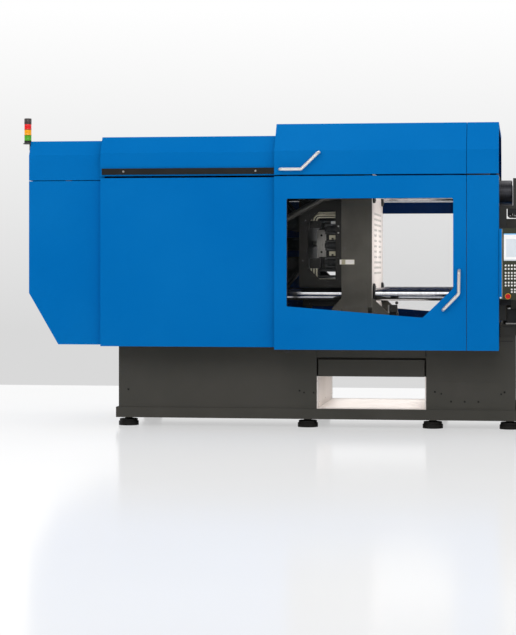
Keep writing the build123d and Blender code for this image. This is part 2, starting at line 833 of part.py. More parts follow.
# Moving platen: mould plate, hollow rib box with a six-sided hole in each side, pivot lugs on its rear wall
rib_high_z = axis_height + rib_box_half_height
rib_low_z = axis_height - rib_box_half_height
moving_lug_spans = [
    (link_plate_inner, link_plate_outer),
    (front_plate_outer + link_play, lug_width_outer),
]
with BuildPart() as moving_platen:
    with BuildSketch(Plane.YZ.offset(moving_plate_back_x)):
        with Locations((0, (platen_low_z + platen_high_z) / 2)):
            Rectangle(2 * platen_half_width, platen_high_z - platen_low_z)
    extrude(amount=moving_plate_thickness)
    chamfer(moving_platen.edges().filter_by(Axis.X), platen_chamfer)
    slab(
        (rib_box_back_x, -platen_half_width, rib_low_z),
        (moving_plate_back_x, platen_half_width, rib_high_z),
    )
    slab(
        (rib_box_back_x + rib_box_wall, rib_box_wall - platen_half_width, rib_low_z + rib_box_wall),
        (moving_plate_back_x, platen_half_width - rib_box_wall, rib_high_z - rib_box_wall),
        mode=Mode.SUBTRACT,
    )
    hole_left_x = rib_box_back_x + side_hole_left
    hole_right_x = moving_plate_back_x - side_hole_right
    hole_high_z = axis_height + side_hole_high
    hole_low_z = axis_height - side_hole_low
    with BuildSketch(facing_rear(platen_half_width)):
        with BuildLine():
            Polyline(
                (hole_left_x, hole_low_z + side_hole_cut),
                (hole_left_x + side_hole_cut, hole_low_z),
                (hole_right_x, hole_low_z),
                (hole_right_x, hole_high_z),
                (hole_left_x + side_hole_cut, hole_high_z),
                (hole_left_x, hole_high_z - side_hole_cut),
                close=True,
            )
        make_face()
    extrude(amount=2 * platen_half_width, mode=Mode.SUBTRACT)
    with BuildSketch(Plane.YZ.offset(moving_plate_back_x - core_ring_length)):
        with Locations((0, axis_height)):
            Circle(core_ring_diameter / 2)
            Circle(core_ring_bore / 2, mode=Mode.SUBTRACT)
    extrude(amount=core_ring_length)
    for pin_z in (upper_pin_z, lower_pin_z):
        for side in (-1, 1):
            for inner_y, outer_y in moving_lug_spans:
                low_y, high_y = sorted((side * inner_y, side * outer_y))
                with BuildSketch(facing_rear(high_y)):
                    with Locations((platen_pin_x, pin_z), (rib_box_back_x, pin_z)):
                        Circle(main_eye)
                    make_hull()
                extrude(amount=high_y - low_y)
        with BuildSketch(facing_rear(front_plate_inner - link_play)):
            with Locations((platen_pin_x, pin_z), (rib_box_back_x, pin_z)):
                Circle(main_eye)
            make_hull()
        extrude(amount=2 * (front_plate_inner - link_play))
        with BuildSketch(facing_rear(lug_width_outer)):
            with Locations((platen_pin_x, pin_z)):
                Circle(main_pin_diameter / 2 + fit_gap)
        extrude(amount=2 * lug_width_outer, mode=Mode.SUBTRACT)
    slab(
        (rib_box_back_x + rib_box_wall, rib_box_wall - platen_half_width, rib_low_z + rib_box_wall),
        (moving_plate_back_x - core_ring_length, platen_half_width - rib_box_wall, rib_high_z - rib_box_wall),
        mode=Mode.SUBTRACT,
    )
    with BuildSketch(Plane.YZ.offset(moving_plate_back_x)):
        with Locations(*tie_bar_spots):
            Circle(tie_bar_diameter / 2 + running_gap)
        with Locations(*[(y, axis_height + z) for y in (-ejector_rod_y, ejector_rod_y)
                         for z in (-ejector_rod_rise, ejector_rod_rise)]):
            Circle(ejector_rod_diameter / 2 + running_gap)
    extrude(amount=moving_plate_thickness, mode=Mode.SUBTRACT)
    rod(
        (rib_box_back_x, 0, axis_height),
        rib_box_wall,
        ejector_piston_rod + 2 * running_gap,
        mode=Mode.SUBTRACT,
    )
    relieve_corners(moving_face_x - pad_proud, platen_low_z)
moving_platen.part.label = "moving_platen"
export_step(moving_platen.part, "parts/moving_platen.step")

# Platen shoes: front and rear slide shoes under the mould plate, with a gusset before and behind it
shoe_low_z = rail_top + running_gap
shoe_back_x = moving_plate_back_x - shoe_overrun_back
shoe_front_x = moving_face_x + shoe_overrun_front
gusset_z = platen_low_z + shoe_gusset_rise
shoe_plate_back_x = moving_plate_back_x + shoe_plate_setback
shoe_plate_front_x = moving_face_x - shoe_plate_inset
shoe_plate_high_z = platen_low_z + shoe_plate_rise
with BuildPart() as platen_shoes:
    for low_y in (-platen_half_width, shoe_inner_y):
        wall(
            [
                (shoe_back_x, shoe_low_z),
                (shoe_front_x, shoe_low_z),
                (shoe_front_x, platen_low_z - shoe_toe_height),
                (shoe_front_x - shoe_gusset_inset, platen_low_z),
                (moving_face_x - pad_proud, gusset_z),
                (moving_face_x - pad_proud, platen_low_z),
                (moving_plate_back_x, platen_low_z),
                (moving_plate_back_x, gusset_z),
                (shoe_back_x + shoe_gusset_inset, platen_low_z + shoe_toe_height),
                (shoe_back_x, platen_low_z),
            ],
            low_y,
            low_y + platen_half_width - shoe_inner_y,
        )
    for low_y in (-platen_half_width - shoe_plate_thickness, platen_half_width):
        wall(
            [
                (shoe_plate_back_x, shoe_low_z),
                (shoe_plate_front_x, shoe_low_z),
                (shoe_plate_front_x, shoe_plate_high_z - shoe_plate_chamfer),
                (shoe_plate_front_x - shoe_plate_chamfer, shoe_plate_high_z),
                (shoe_plate_back_x, shoe_plate_high_z),
            ],
            low_y,
            low_y + shoe_plate_thickness,
        )
    slab(
        (shoe_front_x, -platen_half_width, platen_low_z - switch_drop),
        (shoe_front_x + switch_length, switch_width - platen_half_width, platen_low_z + switch_rise),
    )
platen_shoes.part.label = "platen_shoes"
export_step(platen_shoes.part, "parts/platen_shoes.step")

# Tie bars and their nuts
tie_bar_left_x = end_platen_back_x - tie_bar_nut_length - tie_bar_stub
tie_bar_right_x = fixed_platen_back_x + tie_bar_nut_length - tie_bar_stub
with BuildPart() as tie_bars:
    for y, z in tie_bar_spots:
        rod((tie_bar_left_x, y, z), tie_bar_right_x - tie_bar_left_x, tie_bar_diameter)
tie_bars.part.label = "tie_bars"
export_step(tie_bars.part, "parts/tie_bars.step")

with BuildPart() as tie_bar_nuts:
    for nut_x in (end_platen_back_x - tie_bar_nut_length, fixed_platen_back_x):
        with BuildSketch(Plane.YZ.offset(nut_x)):
            with Locations(*tie_bar_spots):
                Circle(tie_bar_nut_diameter / 2)
        extrude(amount=tie_bar_nut_length)
    chamfer(tie_bar_nuts.edges().filter_by(GeomType.CIRCLE), tie_bar_nut_chamfer)
    for y, z in tie_bar_spots:
        rod(
            (tie_bar_left_x, y, z),
            tie_bar_right_x - tie_bar_left_x,
            tie_bar_diameter + 2 * fit_gap,
            mode=Mode.SUBTRACT,
        )
tie_bar_nuts.part.label = "tie_bar_nuts"
export_step(tie_bar_nuts.part, "parts/tie_bar_nuts.step")


def build_toggle_half(up, half):
    """The links and pins of the upper half (up is 1) or the lower half (up is -1)."""
    base_z = axis_height + up * pivot_rise
    knee = (end_pin_x + knee_dx, base_z + up * knee_dz)
    elbow = (end_pin_x + cross_dx, base_z + up * cross_dz)
    rear_bore = main_pin_diameter + 2 * pin_gap
    open_gap = 0 if up > 0 else running_gap
    with BuildPart() as rear_link:
        for low_y in (-link_plate_outer, link_plate_inner):
            link_plate(
                low_y,
                low_y + link_plate_outer - link_plate_inner,
                [
                    (end_pin_x, base_z, main_eye, rear_bore),
                    (*elbow, cross_eye, cross_pin_diameter + 2 * fit_gap),
                    (*knee, knee_eye, knee_pin_diameter + 2 * fit_gap),
                ],
            )
    rear_link.part.label = "rear_link_" + half
    export_step(rear_link.part, "parts/rear_link_" + half + ".step")

    plate_spans = (
        (front_plate_inner, link_plate_inner - link_play),
        (link_plate_outer + link_play, front_plate_outer),
    )
    with BuildPart() as front_link:
        for inner_y, outer_y in plate_spans:
            for low_y in (inner_y, -outer_y):
                link_plate(
                    low_y,
                    low_y + outer_y - inner_y,
                    [
                        (*knee, knee_eye, knee_pin_diameter + 2 * pin_gap),
                        (platen_pin_x, base_z, main_eye, rear_bore + 2 * open_gap),
                    ],
                )
    front_link.part.label = "front_link_" + half
    export_step(front_link.part, "parts/front_link_" + half + ".step")

    with BuildPart() as cross_link:
        link_plate(
            -cross_link_half,
            cross_link_half,
            [
                (*elbow, cross_eye, cross_pin_diameter + 2 * pin_gap),
                (crosshead_x, base_z, cross_eye, cross_pin_diameter + 2 * (pin_gap + open_gap)),
            ],
        )
    cross_link.part.label = "cross_link_" + half
    export_step(cross_link.part, "parts/cross_link_" + half + ".step")

    with BuildPart() as rear_link_pins:
        pin(*knee, front_plate_outer, knee_pin_diameter)
        pin(*elbow, link_plate_outer, cross_pin_diameter)
    rear_link_pins.part.label = "rear_link_pins_" + half
    export_step(rear_link_pins.part, "parts/rear_link_pins_" + half + ".step")


build_toggle_half(1, "upper")
build_toggle_half(-1, "lower")

# Crosshead: a beam between the two halves, with cheeks round the cross links and bushes on the guide rods
with BuildPart() as crosshead:
    slab(
        (crosshead_x - crosshead_half_length, -crosshead_wing, axis_height - crosshead_half_height),
        (crosshead_x + crosshead_half_length, crosshead_wing, axis_height + crosshead_half_height),
    )
    fillet(crosshead.edges().filter_by(Axis.Z), edge_round)
    for low_y in (cross_link_half + link_play, -cross_link_half - link_play - cheek_thickness):
        with BuildSketch(facing_rear(low_y + cheek_thickness)):
            with Locations((crosshead_x, upper_pin_z), (crosshead_x, lower_pin_z)):
                Circle(cross_eye)
            make_hull()
            with Locations((crosshead_x, upper_pin_z), (crosshead_x, lower_pin_z)):
                Circle(cross_pin_diameter / 2 + fit_gap, mode=Mode.SUBTRACT)
        extrude(amount=cheek_thickness)
    for side in (-1, 1):
        rod(
            (crosshead_x - crosshead_half_length, side * guide_rod_y, axis_height),
            2 * crosshead_half_length,
            guide_rod_diameter + 2 * running_gap,
            mode=Mode.SUBTRACT,
        )
crosshead.part.label = "crosshead"
export_step(crosshead.part, "parts/crosshead.step")

with BuildPart() as crosshead_pins:
    for pin_z in (upper_pin_z, lower_pin_z):
        pin(crosshead_x, pin_z, cross_link_half + link_play + cheek_thickness, cross_pin_diameter)
crosshead_pins.part.label = "crosshead_pins"
export_step(crosshead_pins.part, "parts/crosshead_pins.step")

with BuildPart() as end_platen_pins:
    for pin_z in (upper_pin_z, lower_pin_z):
        pin(end_pin_x, pin_z, front_plate_outer, main_pin_diameter)
end_platen_pins.part.label = "end_platen_pins"
export_step(end_platen_pins.part, "parts/end_platen_pins.step")

with BuildPart() as platen_pins:
    for pin_z in (upper_pin_z, lower_pin_z):
        pin(platen_pin_x, pin_z, lug_width_outer, main_pin_diameter)
platen_pins.part.label = "platen_pins"
export_step(platen_pins.part, "parts/platen_pins.step")

# Guide rods for the crosshead, held in the end platen
with BuildPart() as crosshead_guides:
    for side in (-1, 1):
        rod(
            (end_plate_back_x, side * guide_rod_y, axis_height),
            guide_rod_end_x - end_plate_back_x,
            guide_rod_diameter,
        )
crosshead_guides.part.label = "crosshead_guides"
export_step(crosshead_guides.part, "parts/crosshead_guides.step")

# Closing cylinder behind the end platen, and its piston rod to the crosshead
with BuildPart() as clamp_cylinder:
    rod((end_platen_back_x - cylinder_length, 0, axis_height), cylinder_length, cylinder_diameter)
    rod(
        (end_platen_back_x - cylinder_flange_length, 0, axis_height),
        cylinder_flange_length,
        cylinder_flange,
    )
    rod(
        (end_platen_back_x - cylinder_length + cylinder_cap, 0, axis_height),
        cylinder_length - 2 * cylinder_cap,
        cylinder_bore,
        mode=Mode.SUBTRACT,
    )
    rod(
        (end_platen_back_x - cylinder_cap, 0, axis_height),
        cylinder_cap,
        clamp_rod_diameter + 2 * running_gap,
        mode=Mode.SUBTRACT,
    )
clamp_cylinder.part.label = "clamp_cylinder"
export_step(clamp_cylinder.part, "parts/clamp_cylinder.step")

rod_left_x = end_platen_back_x - cylinder_length + cylinder_cap + rod_end_margin
with BuildPart() as clamp_rod:
    rod(
        (rod_left_x, 0, axis_height),
        crosshead_x - crosshead_half_length - rod_left_x,
        clamp_rod_diameter,
    )
    rod((rod_left_x, 0, axis_height), piston_length, cylinder_bore - 2 * running_gap)
clamp_rod.part.label = "clamp_rod"
export_step(clamp_rod.part, "parts/clamp_rod.step")

# Ejector plate with four rods that reach through the mould plate, and its piston rod
ejector_plate_x = rib_box_back_x + ejector_plate_back
with BuildPart() as ejector_plate:
    slab(
        (ejector_plate_x, -ejector_plate_half_width, axis_height - ejector_plate_half_height),
        (
            ejector_plate_x + ejector_plate_thickness,
            ejector_plate_half_width,
            axis_height + ejector_plate_half_height,
        ),
    )
    for side in (-1, 1):
        rod(
            (ejector_plate_x, side * ejector_plate_hole_y, axis_height),
            ejector_plate_thickness,
            ejector_plate_hole,
            mode=Mode.SUBTRACT,
        )
        for up in (-1, 1):
            rod(
                (ejector_plate_x, side * ejector_rod_y, axis_height + up * ejector_rod_rise),
                moving_face_x - ejector_rod_setback - ejector_plate_x,
                ejector_rod_diameter,
            )
    rod(
        (rib_box_back_x - ejector_cylinder_length / 2, 0, axis_height),
        ejector_plate_x - rib_box_back_x + ejector_cylinder_length / 2,
        ejector_piston_rod,
    )
ejector_plate.part.label = "ejector_plate"
export_step(ejector_plate.part, "parts/ejector_plate.step")

# Ejector drive: cylinder on the rib box's rear wall, between the upper and lower lugs
with BuildPart() as ejector_drive:
    rod(
        (rib_box_back_x - ejector_cylinder_length, 0, axis_height),
        ejector_cylinder_length,
        ejector_cylinder_diameter,
    )
    rod(
        (rib_box_back_x - ejector_cylinder_length + cylinder_cap / 2, 0, axis_height),
        ejector_cylinder_length - cylinder_cap / 2,
        ejector_piston_rod + 2 * running_gap,
        mode=Mode.SUBTRACT,
    )
ejector_drive.part.label = "ejector_drive"
export_step(ejector_drive.part, "parts/ejector_drive.step")

# Ejector valves: a manifold bar on the mould plate's back, seen through the side hole, with coils and plugs
valve_back_x = moving_plate_back_x - side_hole_right
with BuildPart() as ejector_valves:
    slab(
        (valve_back_x, -valve_bar_y, axis_height - valve_bar_half_height),
        (moving_plate_back_x, valve_bar_width - valve_bar_y, axis_height + valve_bar_half_height),
    )
    for heights, length, size in (
        (coil_heights, coil_length, coil_size),
        (connector_heights, connector_length, connector_size),
    ):
        for height in heights:
            low_z = axis_height + height - size / 2
            slab(
                (valve_back_x - length, -valve_bar_y, low_z),
                (valve_back_x, coil_width - valve_bar_y, low_z + size),
            )
    hose_y = valve_bar_width / 2 - valve_bar_y
    near_z, far_z = [axis_height + rise for rise in valve_hose_upper_rises]
    hose(
        [
            (valve_back_x, hose_y, near_z),
            (valve_hose_turn_x, hose_y, near_z),
            (valve_hose_turn_x, hose_y, far_z),
            (moving_plate_back_x, hose_y, far_z),
        ],
        valve_hose_diameter,
        valve_hose_round,
    )
    near_z, far_z = [axis_height + rise for rise in valve_hose_lower_rises]
    hose(
        [
            (valve_hose_foot_x, hose_y, axis_height - valve_bar_half_height),
            (valve_hose_foot_x, hose_y, near_z),
            (valve_hose_turn_x, hose_y, near_z),
            (valve_hose_turn_x, hose_y, far_z),
            (moving_plate_back_x, hose_y, far_z),
        ],
        valve_hose_diameter,
        valve_hose_round,
    )
ejector_valves.part.label = "ejector_valves"
export_step(ejector_valves.part, "parts/ejector_valves.step")

# Conduit: corrugated pipe along the rib box's side, up to a fitting beside the mould plate
conduit_y = platen_half_width + conduit_diameter / 2 + fit_gap
with BuildPart() as conduit:
    with BuildLine():
        FilletPolyline(
            (conduit_tail_x, -conduit_y, conduit_tail_z),
            (conduit_head_x, -conduit_y, conduit_head_z),
            (moving_plate_back_x, -conduit_y, conduit_head_z + conduit_rise),
            radius=2 * conduit_diameter,
        )
    with BuildSketch(Plane(
        origin=(moving_plate_back_x, -conduit_y, conduit_head_z + conduit_rise),
        z_dir=(moving_plate_back_x - conduit_head_x, 0, conduit_rise),
    )):
        Circle(conduit_diameter / 2)
    sweep()
conduit.part.label = "conduit"
export_step(conduit.part, "parts/conduit.step")

# Guard frame: outriggers from the bed's sides, uprights under the door rails and in the end guard
post_front_y = mid_face - sheet
post_back_y = post_front_y - post_size
inner_rail_front_y = mid_face - door_rail_setback
inner_rail_back_y = inner_rail_front_y - door_rail_depth
with BuildPart() as guard_frame:
    for side in (-1, 1):
        reach_ys = sorted((side * bed_half_width, side * post_front_y))
        post_ys = sorted((side * post_front_y, side * post_back_y))
        for station in post_stations:
            tube_x = max(station - post_width / 2, bed_left_x)
            slab(
                (tube_x, reach_ys[0], outrigger_low_z),
                (tube_x + post_width, reach_ys[1], outrigger_high_z),
            )
            slab(
                (tube_x, post_ys[0], outrigger_high_z),
                (tube_x + post_width, post_ys[1], door_rail_low_z),
            )
        end_ys = sorted((side * (end_face - sheet), side * (end_face - sheet - post_size)))
        slab(
            (end_post_x, end_ys[0], outrigger_low_z),
            (bed_left_x, end_ys[1], outrigger_high_z),
        )
        slab(
            (end_post_x, end_ys[0], outrigger_high_z),
            (end_post_x + post_width, end_ys[1], end_bend_z - 2 * sheet),
        )
guard_frame.part.label = "guard_frame"
export_step(guard_frame.part, "parts/guard_frame.step")

# Door rails: inner rail on the posts for each door, hood rail on the mid hood's face, brackets between them
hood_rail_high_z = hood_rail_low_z + hood_rail_height
rail_left_x = mid_left_x + hood_rail_inset
rail_right_x = column_right_x - seam
bracket_stations = [x for x in post_stations if x > mid_right_x]
with BuildPart() as door_rails:
    for side in (-1, 1):
        inner_ys = sorted((side * inner_rail_front_y, side * inner_rail_back_y))
        slab((rail_left_x, inner_ys[0], door_rail_low_z), (rail_right_x, inner_ys[1], door_rail_high_z))
        outer_ys = sorted((side * mid_face, side * (mid_face + hood_rail_thickness)))
        slab((rail_left_x, outer_ys[0], hood_rail_low_z), (rail_right_x, outer_ys[1], hood_rail_high_z))
        web_ys = sorted((side * inner_rail_back_y, side * (inner_rail_back_y + sheet + arm_thickness)))
        top_ys = sorted((side * inner_rail_back_y, side * mid_face))
        for station in bracket_stations:
            slab(
                (station - post_width / 2, web_ys[0], door_rail_high_z),
                (station + post_width / 2, web_ys[1], hood_rail_high_z),
            )
            slab(
                (station - post_width / 2, top_ys[0], hood_rail_low_z),
                (station + post_width / 2, top_ys[1], hood_rail_high_z),
            )
door_rails.part.label = "door_rails"
export_step(door_rails.part, "parts/door_rails.step")

# End guard: a lower part with a slanted foot, and a folded upper part over the top
end_right_x = mid_left_x + end_overlap
end_outline = [
    (end_right_x, end_low_z),
    (end_corner_x, end_low_z),
    (end_left_x, end_corner_z),
    (end_left_x, end_high_z),
]
end_length = end_right_x - end_left_x
with BuildPart() as end_guard:
    for low_y in (-end_face, end_face - sheet):
        wall(end_outline + [(end_right_x, end_high_z)], low_y, low_y + sheet)
    with BuildSketch(facing_rear(end_face)):
        with BuildLine():
            Polyline(*end_outline)
            offset(amount=sheet, side=Side.RIGHT, kind=Kind.INTERSECTION)
        make_face()
    extrude(amount=2 * end_face)
    arch(end_left_x, end_length, end_face, end_upper_low_z, end_bend_z, end_top_z, end_setback, sheet)
    with BuildSketch(Plane.YZ.offset(end_left_x)):
        with BuildLine():
            Polyline(
                (-end_face, end_upper_low_z),
                (-end_face, end_bend_z),
                (end_setback - end_face, end_top_z),
                (end_face - end_setback, end_top_z),
                (end_face, end_bend_z),
                (end_face, end_upper_low_z),
                close=True,
            )
        make_face()
    extrude(amount=sheet)
end_guard.part.label = "end_guard"
export_step(end_guard.part, "parts/end_guard.step")

# Mid guards: front and rear lower panels with folded ends
with BuildPart() as mid_guards:
    for side in (-1, 1):
        face_ys = sorted((side * mid_face, side * (mid_face - sheet)))
        slab((mid_left_x, face_ys[0], mid_low_z), (mid_right_x, face_ys[1], mid_high_z))
        fold_ys = sorted((side * mid_face, side * (end_face + running_gap)))
        slab((mid_left_x, fold_ys[0], mid_low_z), (mid_left_x + sheet, fold_ys[1], mid_high_z))
        lip_ys = sorted((side * mid_face, side * (mid_face - mid_return)))
        slab((mid_left_x, lip_ys[0], mid_low_z), (mid_right_x, lip_ys[1], mid_low_z + sheet))
mid_guards.part.label = "mid_guards"
export_step(mid_guards.part, "parts/mid_guards.step")

# Mid hood: folded sheet over the toggle, with a return at its left end down to the end guard
with BuildPart() as mid_hood:
    arch(
        mid_left_x, mid_right_x - mid_left_x, mid_face, mid_hood_low_z,
        mid_hood_bend_z, mid_hood_top_z, mid_hood_setback, sheet,
    )
    arch(
        mid_left_x, sheet, mid_face, mid_hood_low_z,
        mid_hood_bend_z, mid_hood_top_z, mid_hood_setback, mid_return,
    )
mid_hood.part.label = "mid_hood"
export_step(mid_hood.part, "parts/mid_hood.step")

# Column guard: lower panels with end walls towards the injection side, and an upper folded sheet
column_left_x = door_right_x + seam
column_wall_inner_y = platen_half_width + service_bar_thickness + seam
hood_low_z = door_high_z + hood_gap
with BuildPart() as column_guard:
    for side in (-1, 1):
        face_ys = sorted((side * door_face, side * (door_face - sheet)))
        slab((column_left_x, face_ys[0], door_low_z), (column_right_x, face_ys[1], door_high_z))
        end_ys = sorted((side * door_face, side * column_wall_inner_y))
        slab((column_right_x - sheet, end_ys[0], door_low_z), (column_right_x, end_ys[1], door_high_z))
        foot_ys = sorted((side * door_face, side * post_front_y))
        slab((column_left_x, foot_ys[0], door_low_z), (column_right_x, foot_ys[1], door_low_z + sheet))
        bracket_ys = sorted((side * (door_face - sheet), side * post_front_y))
        bracket_x = post_stations[-1] - post_width / 2
        for bracket_z in column_bracket_heights:
            slab(
                (bracket_x, bracket_ys[0], bracket_z),
                (bracket_x + post_width, bracket_ys[1], bracket_z + column_bracket_height),
            )
        hood_bracket_ys = sorted((side * (door_face - sheet), side * (mid_face + hood_rail_thickness)))
        slab(
            (bracket_x, hood_bracket_ys[0], hood_rail_low_z),
            (bracket_x + post_width, hood_bracket_ys[1], hood_rail_low_z + column_bracket_height),
        )
    arch(
        column_left_x, column_right_x - column_left_x, door_face, hood_low_z,
        hood_bend_z, hood_top_z, hood_setback, sheet,
    )
    arch(
        column_right_x - sheet, sheet, door_face, hood_low_z,
        hood_bend_z, hood_top_z, hood_setback, hood_return,
    )
column_guard.part.label = "column_guard"
export_step(column_guard.part, "parts/column_guard.step")

# Front safety door: folded tray with a five-sided window, a rim round the pane, arms and a guide shoe
window_corners = [
    (window_left_x, window_high_z),
    (window_left_x, window_low_z),
    (window_corner_x, window_corner_z),
    (window_right_x, window_right_z),
    (window_right_x, window_high_z),
]


def window_shape(start_y, depth, grow, mode):
    """The window's outline, grown by a margin, as a solid from a depth towards the rear."""
    with BuildSketch(facing_rear(start_y + depth)) as profile:
        with BuildLine():
            Polyline(*window_corners, close=True)
        make_face()
        if grow > 0:
            offset(amount=grow, kind=Kind.INTERSECTION)
        fillet(profile.vertices(), window_radius + grow)
    extrude(profile.sketch, amount=depth, mode=mode)


door_back_y = door_depth - door_face
pane_front_y = sheet - door_face
rim_reach = pane_overlap + pane_rim
arm_low_z = door_rail_high_z + running_gap
arm_back_y = inner_rail_back_y + arm_reach
with BuildPart() as safety_door_front:
    slab((door_left_x, -door_face, door_low_z), (door_right_x, door_back_y, door_high_z))
    slab(
        (door_left_x + sheet, pane_front_y, door_low_z + sheet),
        (door_right_x - sheet, door_back_y, door_high_z - sheet),
        mode=Mode.SUBTRACT,
    )
    window_shape(pane_front_y, pane_rim_depth, rim_reach, Mode.ADD)
    window_shape(pane_front_y, pane_thickness, pane_overlap + fit_gap, Mode.SUBTRACT)
    window_shape(-door_face, door_depth, 0, Mode.SUBTRACT)
    for station in arm_stations:
        slab(
            (station - arm_width / 2, door_back_y - arm_reach, door_high_z - sheet),
            (station + arm_width / 2, door_back_y, arm_low_z + 2 * arm_thickness),
        )
        slab(
            (station - arm_width / 2, door_back_y, arm_low_z + arm_thickness),
            (station + arm_width / 2, -arm_back_y, arm_low_z + 2 * arm_thickness),
        )
        slab(
            (station - glide_width / 2, -inner_rail_front_y, arm_low_z),
            (station + glide_width / 2, -arm_back_y, arm_low_z + arm_thickness),
        )
    shoe_x = door_left_x + guide_shoe_inset
    slab(
        (shoe_x, door_back_y - guide_shoe_thickness, door_low_z - guide_shoe_height),
        (shoe_x + guide_shoe_width, door_back_y, door_low_z),
    )
safety_door_front.part.label = "safety_door_front"
export_step(safety_door_front.part, "parts/safety_door_front.step")

with BuildPart() as door_pane_front:
    window_shape(pane_front_y, pane_thickness, pane_overlap, Mode.ADD)
door_pane_front.part.label = "door_pane_front"
export_step(door_pane_front.part, "parts/door_pane_front.step")

# Handles: bent tube on two feet, standing off the sheet


def bent_handle(face_y, base_z, corners):
    """A tube handle out from the sheet, along corners given as X and height over base_z, and back in."""
    grip = [(x, face_y - handle_standoff, base_z + rise) for x, rise in corners]
    first = (grip[0][0], grip[0][2])
    last = (grip[-1][0], grip[-1][2])
    with BuildLine() as path:
        FilletPolyline(
            (first[0], face_y, first[1]),
            *grip,
            (last[0], face_y, last[1]),
            radius=handle_diameter,
        )
    with BuildSketch(Plane.XZ.offset(-face_y)) as section:
        with Locations(first):
            Circle(handle_diameter / 2)
    sweep(section.sketch, path=path.line)


with BuildPart() as door_handle_front:
    bent_handle(-door_face, axis_height, [door_handle_top, door_handle_knee, door_handle_toe])
door_handle_front.part.label = "door_handle_front"
export_step(door_handle_front.part, "parts/door_handle_front.step")

with BuildPart() as hood_handle:
    bent_handle(-door_face, hood_bend_z, [hood_handle_back, hood_handle_knee, hood_handle_front])
hood_handle.part.label = "hood_handle"
export_step(hood_handle.part, "parts/hood_handle.step")

# The rear door, its pane and its handle are the front ones mirrored across the machine, and a blind
# on the rear door's rim covers the top of its window
rear_rim_y = -pane_front_y - pane_rim_depth
with BuildPart() as safety_door_rear:
    mirror(safety_door_front.part, about=Plane.XZ)
    slab(
        (window_left_x - blind_overlap, rear_rim_y - sheet, window_high_z - blind_drop),
        (window_right_x + blind_overlap, rear_rim_y, window_high_z + blind_overlap),
    )
safety_door_rear.part.label = "safety_door_rear"
export_step(safety_door_rear.part, "parts/safety_door_rear.step")

for front_piece, rear_name in (
    (door_pane_front, "door_pane_rear"),
    (door_handle_front, "door_handle_rear"),
):
    with BuildPart() as rear_piece:
        mirror(front_piece.part, about=Plane.XZ)
    rear_piece.part.label = rear_name
    export_step(rear_piece.part, "parts/" + rear_name + ".step")

# Top hood: folded sheet that slides back over the mid hood on glides along both hood rails
glide_back_y = mid_face + running_gap
with BuildPart() as top_hood:
    arch(
        door_left_x, door_right_x - door_left_x, door_face, hood_low_z,
        hood_bend_z, hood_top_z, hood_setback, sheet,
    )
    arch(
        door_left_x, sheet, door_face, hood_low_z,
        hood_bend_z, hood_top_z, hood_setback, hood_return,
    )
    for side in (-1, 1):
        glide_ys = sorted((side * (door_face - sheet), side * glide_back_y))
        for station in arm_stations:
            slab(
                (station - glide_width / 2, glide_ys[0], hood_rail_high_z + running_gap),
                (station + glide_width / 2, glide_ys[1], hood_rail_high_z + running_gap + glide_height),
            )
top_hood.part.label = "top_hood"
export_step(top_hood.part, "parts/top_hood.step")

# Signal light: bracket on the end wall, base, three lenses and a cap
light_x = light_diameter / 2 - machine_end_x
lens_low_z = light_low_z + light_base_height
lens_stack = lens_count * lens_height
cap_low_z = lens_low_z + lens_stack
light_bracket_front_y = -light_y - light_bracket_width / 2
light_bracket_back_y = light_bracket_front_y + light_bracket_width
with BuildPart() as signal_light:
    slab(
        (-machine_end_x, light_bracket_front_y, light_low_z - light_bracket_thickness),
        (end_left_x, light_bracket_back_y, light_low_z),
    )
    slab(
        (end_left_x - light_bracket_thickness, light_bracket_front_y, light_low_z - light_bracket_drop),
        (end_left_x, light_bracket_back_y, light_low_z),
    )
    post((light_x, -light_y, light_low_z), light_base_height, light_diameter)
    post((light_x, -light_y, lens_low_z), lens_stack, light_diameter - 2 * lens_inset)
    post((light_x, -light_y, cap_low_z), cap_height, light_diameter)
    fillet(signal_light.faces().sort_by(Axis.Z)[-1].edges(), edge_round)
signal_light.part.label = "signal_light"
export_step(signal_light.part, "parts/signal_light.step")

# Panel arm: beam from the injection bed's side and a post that the control panel turns on
panel_centre_x = panel_left_x + panel_width / 2
arm_beam_half = arm_beam_width / 2
with BuildPart() as panel_arm:
    slab(
        (panel_centre_x - arm_beam_half, -panel_post_y - arm_beam_half, injection_bed_top - arm_beam_height),
        (panel_centre_x + arm_beam_half, -bed_half_width, injection_bed_top),
    )
    post(
        (panel_centre_x, -panel_post_y, injection_bed_top),
        panel_low_z - seam - injection_bed_top,
        panel_post_diameter,
    )
    post(
        (panel_centre_x, -panel_post_y, panel_low_z - seam),
        panel_post_rise + seam,
        panel_post_diameter / 2,
    )
panel_arm.part.label = "panel_arm"
export_step(panel_arm.part, "parts/panel_arm.step")

